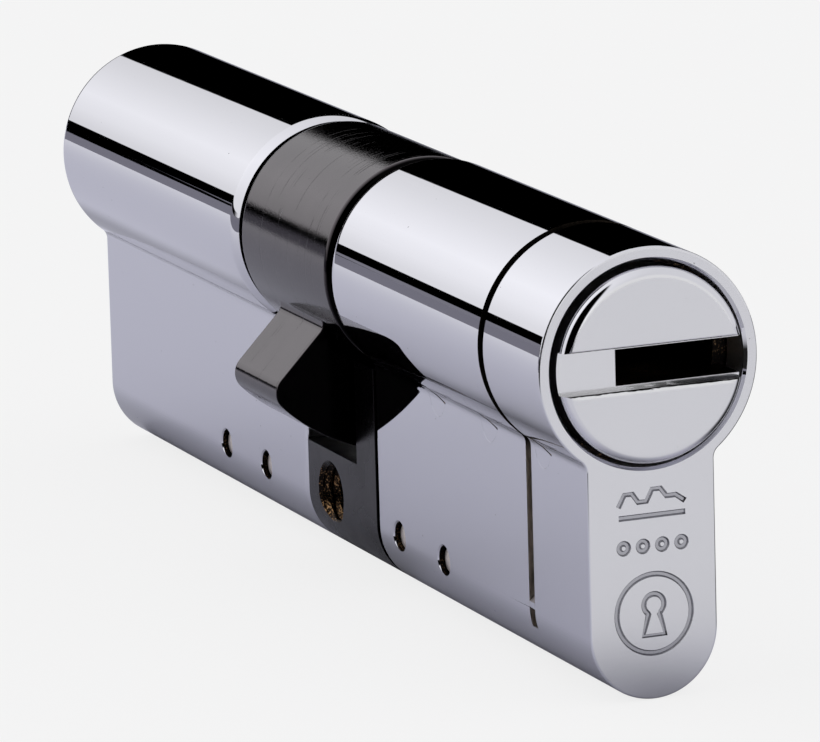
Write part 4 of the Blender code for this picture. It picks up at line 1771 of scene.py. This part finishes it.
    def cross_pins(self, half: Half) -> None:
        """Slightly domed, rolled pins below the flanks.

        Args:
            half: The half they are for.
        """
        reach, e = self.barrel.profile.flank - self.cross_inset, self.pin_edge
        for n, line in enumerate(self.barrel.cross_lines(half)):
            name = f"{half.label}_cross_pin_{n + 1}"
            radius = Box.of(name).size[2] / 2
            edge = arc((radius - e, reach - e - 0.1 * MM), e, 0.0, math.pi / 2, 6)
            dome, drop = self.pin_dome
            end = [*map(tuple, edge), (dome, reach - drop), (0.0, reach)]
            section = [(r, -h) for r, h in reversed(end)] + end
            made = turning(f"{name}_rolled", line, section, 64)
            shade(made, [Turned(line, 0.02 * MM, 1.2 * MM)])
            hand_over(made, name, PIN_STEEL)

    def build(self) -> None:
        """Both bodies with their plugs and pins."""
        for half in Half:
            self.body(half)
            self.closing_plugs(half)
            self.cross_pins(half)


@dataclass
class ConnectingBar:
    """The blackened bridge under the cam, with its threaded hole and two tongues."""

    barrel: Barrel
    front: float = 9.5 * MM
    back_gap: float = 0.3 * MM
    rim: float = 0.12 * MM
    sweep: float = 8.95 * MM
    post: float = 3.9 * MM
    notch_floor: float = 3.45 * MM
    notch: tuple[float, float, float] = (8 * MM, 8 * MM, 15 * MM)
    tongue_half: float = 2.9 * MM
    tongue_height: tuple[float, float] = (-3.4 * MM, 2.4 * MM)
    thread_core: float = 2.1 * MM
    thread_crest: float = 2.42 * MM
    thread_pitch: float = 0.8 * MM
    chamfer: float = 0.5 * MM
    cross_radius: float = 1.15 * MM
    cross_reach: float = 6.0 * MM

    def thread_tools(self) -> list[Solid]:
        """The thread along X, and a chamfer at each of its mouths.

        Returns:
            The cutters.
        """
        flank, core = self.barrel.profile.flank, self.thread_core
        right, left = (Spindle(np.zeros(3), np.array([side, 0.0, 0.0])) for side in (1.0, -1.0))
        near, wide, past = flank - self.chamfer, core + self.chamfer, flank + MM
        mouth = [(0.0, near), (core, near), (wide, flank), (wide + MM, past), (0.0, past)]
        made = [threaded("thread", right, past, core, self.thread_crest, self.thread_pitch)]
        made += [turning("mouth", spindle, mouth, 64) for spindle in (right, left)]
        return [dress(tool, PAINTED_SHADE_THREAD) for tool in made]

    def build(self) -> Solid:
        """The bridge, its tongue, notch, cross holes and thread.

        Returns:
            The bar.
        """
        profile, box = self.barrel.profile, Box.of("connecting_bar")
        ends, rims = (-self.front, Box.of("back_body").low[1] - self.back_gap), (self.rim, self.rim)
        made = dress(prism("connecting_bar_bridge", profile.outline(), *ends, rims), BRIDGE)
        swept = rod("sweep", self.barrel.axis, self.sweep, -20 * MM, 20 * MM, 192)
        notch = block("notch", (-self.notch[0], ends[0] + self.post, self.notch_floor), self.notch)
        # painted shade: the bridge's sweep and notch are dressed near black
        carve(made, [dress(swept, PAINTED_SHADE_BLACK), dress(notch, PAINTED_SHADE_BLACK)])
        across, (low, high) = self.tongue_half, self.tongue_height
        tongue = block("tongue", (-across, box.low[1], low), (across, box.high[1], high))
        carve(made, [dress(tongue, BRIDGE)], Cut.JOIN)
        lines = [line for half in Half for line in self.barrel.cross_lines(half)]
        r, reach = self.cross_radius, self.cross_reach
        holes = [rod(f"bar_cross_{n}", line, r, -reach, reach, 48) for n, line in enumerate(lines)]
        carve(made, self.thread_tools() + [dress(tool, PAINTED_SHADE_RECESS) for tool in holes])
        shapes: list[Shape] = [Profiled(profile, *ends, rims)]
        shapes.append(Turned(self.barrel.axis, self.sweep - 0.45 * MM, self.sweep + 0.25 * MM))
        shade(made, shapes + [Turned(line, r - 0.15 * MM, r + 0.15 * MM) for line in lines])
        return hand_over(made, "connecting_bar", BRIDGE)


@dataclass
class Cam:
    """The turned ring with its lug, and the slotted web inside."""

    barrel: Barrel
    ring: float = 8.35 * MM
    ring_rim: float = 0.5 * MM
    recess: tuple[float, float] = (7.25 * MM, 8.4 * MM)
    bore: float = 6.4 * MM
    web: tuple[float, float] = (3.3 * MM, 1.6 * MM)
    slot_reach: float = 6.0 * MM
    slot_half: tuple[float, float] = (1.9 * MM, 1.45 * MM)
    lug_rim: float = 0.15 * MM
    root_fillet: float = 0.9 * MM
    root_depth: float = 1.2 * MM
    tip_radius: float = 15.1 * MM
    root_half: float = 3.3 * MM
    tip_half: float = 5.0 * MM
    corner_radius: float = 1.5 * MM
    rest_angle: float = math.radians(30.0)
    lug_front: float = 5.0 * MM
    lug_back: float = 4.0 * MM

    def corner(self) -> tuple[Array, float]:
        """The right tip corner, before the lean.

        Returns:
            Its centre, and the angle that its flank faces.
        """
        reach = self.tip_radius - self.corner_radius
        flare = math.asin((self.tip_half - self.corner_radius) / reach)
        slope = math.atan2(self.tip_half - self.root_half, self.tip_radius - self.ring)
        return reach * np.array([math.sin(flare), -math.cos(flare)]), slope

    def root(self) -> tuple[Array, Array]:
        """The right root fillet, before the lean.

        Its centre stands one fillet radius off the flank's line and off the ring, so it is where
        the shifted line first comes within the ring's radius plus the fillet's.

        Returns:
            Its centre, and the point where it touches the ring.
        """
        centre, slope = self.corner()
        out = np.array([math.cos(slope), math.sin(slope)])
        start = centre + (self.corner_radius + self.root_fillet) * out
        up = np.array([-out[1], out[0]])
        along, far = start @ up, self.ring + self.root_fillet
        middle = start + up * (-along - math.sqrt(along**2 - start @ start + far**2))
        return middle, middle * self.ring / far

    def lug_outline(self) -> Outline:
        """The lug's section: an arc about the axis, round corners, flared flanks, root fillets.

        Returns:
            The section, symmetrical before the lean.
        """
        centre, slope = self.corner()
        middle, touch = self.root()
        turn = math.asin(centre[0] / np.linalg.norm(centre)) - math.pi / 2
        tip = arc((0, 0), 1.0, -math.pi / 2, turn, 24)
        side = arc((0, 0), 1.0, turn, slope, 12)
        root = arc((0, 0), 1.0, slope + math.pi, math.atan2(-middle[1], -middle[0]), 12)
        flank = (centre + self.corner_radius * side)[1:]
        inner = touch * (self.ring - self.root_depth) / self.ring
        rounded = middle + self.root_fillet * root
        points = np.concatenate([self.tip_radius * tip, flank, rounded, [inner]])
        normals = np.concatenate([tip, side[1:], -root, -root[-1:]])
        flip = np.array([-1.0, 1.0])
        points = np.concatenate([(points * flip)[:0:-1], points]) @ self.lean()
        normals = np.concatenate([(normals * flip)[:0:-1], normals]) @ self.lean()
        return Outline(points + [0.0, self.barrel.profile.axis], normals)

    def lean(self) -> Array:
        """The turn that leans the lug towards -X, for rows of (X, Z) points."""
        c, t = math.cos(self.rest_angle), math.sin(self.rest_angle)
        return np.array([[c, -t], [t, c]])

    def shapes(self) -> list[Shape]:
        """The ring, its rims and bores, the lug's tip, and its round corners and root fillets.

        Returns:
            The shapes.
        """
        axis, ring, r, hair = self.barrel.axis, self.ring, self.ring_rim, 0.02 * MM
        half = Box.of("cam").size[1] / 2
        found: list[Shape] = [Rolled(axis, ring - r, side * (half - r), r) for side in (-1, 1)]
        found.append(Turned(axis, self.web[0] - 0.1 * MM, ring + hair))
        found.append(Turned(axis, self.tip_radius - 10 * hair, self.tip_radius + hair))
        for centre, near, far in (
            (self.corner()[0], self.corner_radius - 0.17 * MM, self.corner_radius + hair),
            (self.root()[0], self.root_fillet - hair, self.root_fillet + 0.17 * MM),
        ):
            for side in (-1.0, 1.0):
                x, z = (centre * [side, 1.0]) @ self.lean()
                point = np.array([x, 0.0, self.barrel.profile.axis + z])
                found.append(Turned(Spindle(point, np.array([0.0, 1.0, 0.0])), near, far))
        return found

    def build(self) -> Solid:
        """The ring and lug joined, the web slotted, and all of it shaded.

        Returns:
            The cam.
        """
        half, ring, axis, r = Box.of("cam").size[1] / 2, self.ring, self.barrel.axis, self.ring_rim
        (wide, floor), (hub, web) = self.recess, self.web
        top = [*map(tuple, arc((ring - r, half - r), r, 0.0, math.pi / 2, 6))]
        top += [(wide, half), (wide, floor), (self.bore, floor), (self.bore, web), (hub, web)]
        section = top + [(radius, -height) for radius, height in reversed(top)]
        made = dress(turning("cam_ring", axis, section, 192), GUNMETAL)
        rims = (self.lug_rim, self.lug_rim)
        lug = prism("lug", self.lug_outline(), -self.lug_front, self.lug_back, rims)
        carve(made, [dress(lug, GUNMETAL)], Cut.JOIN)
        size = np.array([self.slot_reach, *self.slot_half])
        slot = block("web_slots", axis.point - size, axis.point + size)
        carve(made, [dress(slot, GUNMETAL)])
        shade(made, self.shapes())
        return hand_over(made, "cam", GUNMETAL)


@dataclass
class KeyPlug:
    """A key plug: rounded head, face channel, keyway, chambers and coupler slot."""

    barrel: Barrel
    half: Half
    head_round: float = 0.85 * MM
    head_back: float = 47.0 * MM
    body: float = 6.3 * MM
    journal: float = 6.1 * MM
    groove: float = 5.4 * MM
    groove_ends: tuple[float, float] = (8.55 * MM, 9.65 * MM)
    lip: float = 0.28 * MM
    channel: float = 1.55 * MM
    channel_depth: float = 1.0 * MM
    keyway: float = 1.325 * MM
    keyway_left: float = 2.6 * MM
    keyway_stop: float = 16.3 * MM
    pocket: tuple[float, float] = (3.2 * MM, 7.4 * MM)
    coupler_slot: float = 1.45 * MM
    tip_hole: float = 1.3 * MM
    chamber: tuple[float, float] = (0.9 * MM, 1.5 * MM)
    chamber_step: float = 3.0 * MM

    def across(self, name: str, near: tuple[float, float], far: tuple[float, float], height: float) -> Solid:
        """A cutter centred in height and carried to this half.

        Args:
            name: Its name.
            near: The X and distance of one corner.
            far: Those of the other.
            height: Half its height.

        Returns:
            The cutter.
        """
        corners = np.array([[near[0], -near[1], 0.0], [far[0], -far[1], 0.0]]) @ self.half.frame()
        low, high = np.sort(corners, 0) + self.barrel.axis.point
        rise = np.array([0.0, 0.0, height])
        return dress(block(name, low - rise, high + rise), PAINTED_SHADE_RECESS)

    def channel_tool(self, reach: float, face: float) -> Solid:
        """The face channel's cutter, whose section widens by a quarter circle at each lip.

        Args:
            reach: How far it goes to each side.
            face: How far from the centre the plug's face is.

        Returns:
            The cutter.
        """
        r, half, turn = self.lip, self.channel, self.half.frame()
        lip = arc((-r, half + r), r, -math.pi / 2, 0.0, 6)
        side = np.concatenate([[[-self.channel_depth, half]], lip, [[MM, half + r]]])
        section = np.concatenate([side, (side * [1.0, -1.0])[::-1]])
        path = np.array([[-reach, -face, 0.0], [reach, -face, 0.0]]) @ turn + self.barrel.axis.point
        out = np.tile([0.0, -1.0, 0.0], (2, 1)) @ turn
        return dress(strip("channel", path, out, section, False), CHANNEL)

    def shapes(self, head: float, face: float) -> list[Shape]:
        """The rounded lips, each about a line along X, the head's rim, and all that is turned.

        Args:
            head: The head's radius.
            face: How far from the centre the plug's face is.

        Returns:
            The shapes.
        """
        barrel, half, r, hair = self.barrel, self.half, self.head_round, 0.02 * MM
        found: list[Shape] = []
        for side in (-1.0, 1.0):
            height = barrel.profile.axis + side * (self.channel + self.lip)
            line = barrel.line(half, (0, self.lip - face, height), (1, 0, 0))
            found.append(Turned(line, self.lip - hair, self.lip + hair / 2))
        axle = barrel.axle(half)
        found += [Rolled(axle, head - r, face - r, r), Turned(axle, self.groove - 0.1 * MM, head + hair)]
        lines = [barrel.line(half, (0, -p, barrel.profile.axis), (0, 0, 1)) for p in stack_places(half)]
        near, far = self.chamber[0] - 0.1 * MM, self.chamber[1] + 0.1 * MM
        return found + [Turned(line, near, far) for line in lines]

    def build(self) -> Solid:
        """The plug turned, milled and shaded.

        Returns:
            The plug.
        """
        label, barrel, half = self.half.label, self.barrel, self.half
        box, axle, r = Box.of(f"{label}_plug"), barrel.axle(half), self.head_round
        head = box.size[2] / 2
        end, face = sorted((abs(box.low[1]), abs(box.high[1])))
        rounded = arc((head - r, face - r), r, math.pi / 2, 0.0, 12)
        near, far = self.groove_ends
        section = [(0.0, face), *map(tuple, rounded), (head, self.head_back), (self.body, self.head_back)]
        section += [(self.body, far), (self.groove, far), (self.groove, near), (self.journal, near)]
        section += [(self.journal, end), (0.0, end)]
        made = dress(turning(f"{label}_plug_turned", axle, section, 192), CHROME)
        wide, stop, (bore, pocket) = head + MM, self.keyway_stop, self.pocket
        milled = [
            self.channel_tool(wide, face),
            self.across("keyway", (-self.keyway_left, stop), (wide, face + MM), self.keyway),
            self.across("coupler_slot", (-wide, 0.0), (wide, pocket), self.coupler_slot),
        ]
        drilled = [
            rod("pocket", axle, bore, 0.0, pocket, 48),
            rod("tip_hole", axle, self.tip_hole, pocket - MM, stop + MM, 32),
        ]
        (tip, wall), step = self.chamber, -self.chamber_step
        steps = [(0.0, 0.0), (tip, 0.0), (tip, step), (wall, step), (wall, 3 * step), (0.0, 3 * step)]
        for n, place in enumerate(stack_places(half)):
            line = barrel.line(half, (0, -place, barrel.profile.axis), (0, 0, 1))
            drilled.append(turning(f"chamber_{n}", line, steps, 32))
        carve(made, milled + [dress(hole, PAINTED_SHADE_RECESS) for hole in drilled])
        shade(made, self.shapes(head, face))
        return hand_over(made, f"{label}_plug", CHROME)


@dataclass
class InnerWorks:
    """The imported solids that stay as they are, inside the cylinder, with their finishes."""

    finishes: tuple[tuple[str, Finish], ...] = (
        ("key_pin", BRASS),
        ("driver_pin", BRIGHT),
        ("coupler", BRIGHT),
        ("spring", SPRING),
        ("clip", SPRING),
    )

    def build(self, nodes: dict[str, Solid]) -> None:
        """Dresses each solid whose name holds one of the words.

        Args:
            nodes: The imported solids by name.
        """
        for name, node in nodes.items():
            for word, finish in self.finishes:
                if word in name:
                    dress(node, finish)
                    LOG.info("%s: %s", name, finish.slot)


# Studio


@dataclass
class Studio:
    """A pale floor, a soft white surround with dark cards, and the camera."""

    azimuth: float = math.radians(-21.96)
    elevation: float = math.radians(12.13)
    roll: float = math.radians(-1.65)
    distance: float = 516.63 * MM
    target: tuple[float, float, float] = (-18.25 * MM, -50.0 * MM, 20.57 * MM)
    lens: float = 324.35
    floor_size: float = 3.0
    floor_gap: float = 0.05 * MM
    pale: float = 0.913
    near_tone: Colour = (0.71, 0.71, 0.80)
    far_tone: Colour = (0.95, 0.95, 1.0)
    edge_tone: Colour = (0.27, 0.265, 0.31)
    right_tone: Colour = (0.30, 0.30, 0.34)
    front_tone: Colour = (0.92, 0.92, 0.95)
    black: Colour = (0.0, 0.0, 0.0)
    lights: tuple[tuple[float, float], ...] = (
        (0.0, 1.00),
        (62.0, 1.00),
        (90.0, 1.14),
        (131.0, 1.40),
        (150.0, 1.30),
        (165.0, 1.14),
        (180.0, 1.10),
    )

    def camera(self) -> None:
        """A long lens, looking down at the key face from its left.

        Its back direction is (sin a cos e, -cos a cos e, sin e) for the azimuth a and the
        elevation e, and its right-hand direction is level before the roll.
        """
        a, e = self.azimuth, self.elevation
        back = np.array([math.sin(a) * math.cos(e), -math.cos(a) * math.cos(e), math.sin(e)])
        level = np.array([math.cos(a), math.sin(a), 0.0])
        right = math.cos(self.roll) * level + math.sin(self.roll) * np.cross(back, level)
        place = np.array(self.target) + self.distance * back
        data = bpy.data.cameras.new("camera")
        data.lens, data.sensor_width = self.lens, 36.0
        data.clip_start, data.clip_end = 0.05, 20.0
        seen = bpy.data.objects.new("camera", data)
        matrix = np.eye(4)
        matrix[:3] = np.stack([right, np.cross(back, right), back, place], 1)
        seen.matrix_world = Matrix(matrix.tolist())
        bpy.context.scene.collection.objects.link(seen)
        bpy.context.scene.camera = seen

    def floor(self) -> None:
        """A wide level sheet just under the object, pale to look at and softly graded."""
        low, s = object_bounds()[0][2] - self.floor_gap, self.floor_size
        points = np.array([[-s, -s, low], [s, -s, low], [s, s, low], [-s, s, low]])
        sheet = mesh_from("floor", points, [(0, 1, 2, 3)])
        sheet.data.materials.append(self.floor_material())
        sheet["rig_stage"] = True

    def layers(self, w: Wiring, first: Feed, steps: Sequence[tuple[Feed, Colour]]) -> Feed:
        """Lays colours over one another.

        Args:
            w: The material's nodes.
            first: The lowest colour.
            steps: A share and a colour for each layer.

        Returns:
            The colour on top.
        """
        for share, colour in steps:
            first = w.blend(share, first, (*colour, 1.0))
        return first

    def two_looks(self, w: Wiring, reflected: Feed, seen: Feed, surface: Socket) -> None:
        """Joins one shader for what reflects and lights, and another for what the camera sees.

        Args:
            w: The material's nodes.
            reflected: The first shader.
            seen: The second.
            surface: The output's socket.
        """
        both = w.node("ShaderNodeMixShader")
        w.join(w.node("ShaderNodeLightPath").outputs["Is Camera Ray"], both.inputs[0])
        w.join(reflected, both.inputs[1])
        w.join(seen, both.inputs[2])
        w.join(both.outputs[0], surface)

    def floor_material(self) -> bpy.types.Material:
        """Paper that looks evenly pale, and that reflects as a table lit from one side, with painted light
        and shade.

        Returns:
            The material.
        """
        made = bpy.data.materials.new("floor_paper")
        made.use_nodes = True
        nodes = made.node_tree.nodes
        w = Wiring(made.node_tree)
        nodes.remove(nodes["Principled BSDF"])
        x, y, _ = w.parts(w.node("ShaderNodeTexCoord").outputs["Object"])
        front = w.between(y, -0.074, -0.050, 1.0, 0.0)
        right = w.math("MULTIPLY", w.between(x, 0.015, 0.030), w.math("LESS_THAN", y, 0.030))
        # painted light and shade on the reflected table: graded tones, darker to the right, a painted shadow
        # near the object, and a dark patch at the front left
        steps = (
            (w.between(x, -0.150, -0.012, 1.0, 0.0), self.far_tone),
            (w.math("LESS_THAN", x, -0.150), self.edge_tone),
            (w.between(x, 0.010, 0.12), self.right_tone),
            (w.between(x, 0.12, 0.24), self.black),
            # painted shadow: the table darkens where it lies close under the object
            (w.between(w.math("ABSOLUTE", x), 0.002, 0.012, 0.38, 0.0), self.black),
            (right, (0.04, 0.04, 0.04)),
            (front, self.front_tone),
            (w.math("MULTIPLY", front, w.between(x, -0.080, -0.040, 1.0, 0.0)), (0.02, 0.02, 0.02)),
        )
        table, paper = w.node("ShaderNodeBsdfDiffuse"), w.node("ShaderNodeBsdfDiffuse")
        w.join(self.layers(w, (*self.near_tone, 1.0), steps), table.inputs["Color"])
        paper.inputs["Color"].default_value = (0.9, 0.9, 0.9, 1)
        glow, seen = w.node("ShaderNodeEmission"), w.node("ShaderNodeMixShader")
        glow.inputs["Color"].default_value = (self.pale, self.pale, self.pale, 1)
        seen.inputs[0].default_value = 0.9
        w.join(paper.outputs[0], seen.inputs[1])
        w.join(glow.outputs[0], seen.inputs[2])
        surface = nodes["Material Output"].inputs["Surface"]
        self.two_looks(w, table.outputs[0], seen.outputs[0], surface)
        return made

    def walls(self, w: Wiring, x: Socket, z: Socket) -> Socket:
        """The surround's light, by the angle about Y from the right over the top to the left.

        Args:
            w: The world's nodes.
            x: The direction's X.
            z: Its Z.

        Returns:
            The light's colour.
        """
        light = w.node("ShaderNodeValToRGB")
        ramp = light.color_ramp
        ramp.elements[0].position, ramp.elements[1].position = 0.0, 1.0
        for angle, _ in self.lights[1:-1]:
            ramp.elements.new(angle / 180.0)
        for element, (_, value) in zip(ramp.elements, self.lights):
            element.color = (value, value, value * 1.02, 1)
        w.join(w.math("DIVIDE", w.math("ARCTAN2", z, x), math.pi), light.inputs["Fac"])
        return light.outputs["Color"]

    def surround(self) -> None:
        """White walls, brightest on the left, with dark cards and a dark line above the floor.

        A card is the side of a slanting plane where 0.67 X + 0.295 Y is over Z, and the dark line
        and the grey band under it lie between level planes on the left.
        """
        world = bpy.data.worlds.new("studio")
        world.use_nodes = True
        bpy.context.scene.world = world
        nodes = world.node_tree.nodes
        w = Wiring(world.node_tree)
        x, y, z = w.parts(w.node("ShaderNodeTexCoord").outputs["Generated"])
        ahead, left = w.between(y, 0.1, 0.6), w.math("LESS_THAN", x, 0.0)
        slant = w.math("ADD", w.math("MULTIPLY", x, 0.67), w.math("MULTIPLY", y, 0.295))
        card = w.math("MULTIPLY", w.between(w.math("SUBTRACT", slant, z), -0.004, 0.004), ahead)
        line = w.math("MULTIPLY", w.between(z, 0.0135, 0.0155), w.between(z, 0.0735, 0.0775, 1.0, 0.0))
        dark = w.math("MAXIMUM", card, w.math("MULTIPLY", line, left))
        nearby = w.between(y, -0.26, -0.16, 1.0, 0.0), w.between(x, -0.26, -0.14, 1.0, 0.0)
        steps = (
            (w.between(y, 0.895, 0.94, 0.0, 0.12), self.black),
            (w.math("MULTIPLY", *nearby), self.black),
            (w.math("MULTIPLY", w.math("LESS_THAN", z, 0.020), left), self.edge_tone),
            (w.math("MULTIPLY", dark, ahead), self.black),
        )
        back, plain = nodes["Background"], w.node("ShaderNodeBackground")
        w.join(self.layers(w, self.walls(w, x, z), steps), back.inputs["Color"])
        plain.inputs["Color"].default_value = (self.pale, self.pale, self.pale, 1)
        surface = nodes["World Output"].inputs["Surface"]
        self.two_looks(w, back.outputs[0], plain.outputs[0], surface)

    def build(self) -> None:
        """The camera, floor and surround, with colours shown as they are."""
        self.camera()
        self.floor()
        self.surround()
        bpy.context.scene.view_settings.view_transform = "Standard"


def main() -> None:
    """Builds the object's looks in order and logs each piece."""
    logging.basicConfig(level=logging.INFO, format="%(name)s: %(message)s")
    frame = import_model()
    barrel = Barrel.measured()
    InnerWorks().build(frame["nodes"])
    Housing(barrel).build()
    ConnectingBar(barrel).build()
    Cam(barrel).build()
    for half in Half:
        KeyPlug(barrel, half).build()
    Studio().build()


if __name__ == "__main__":
    main()
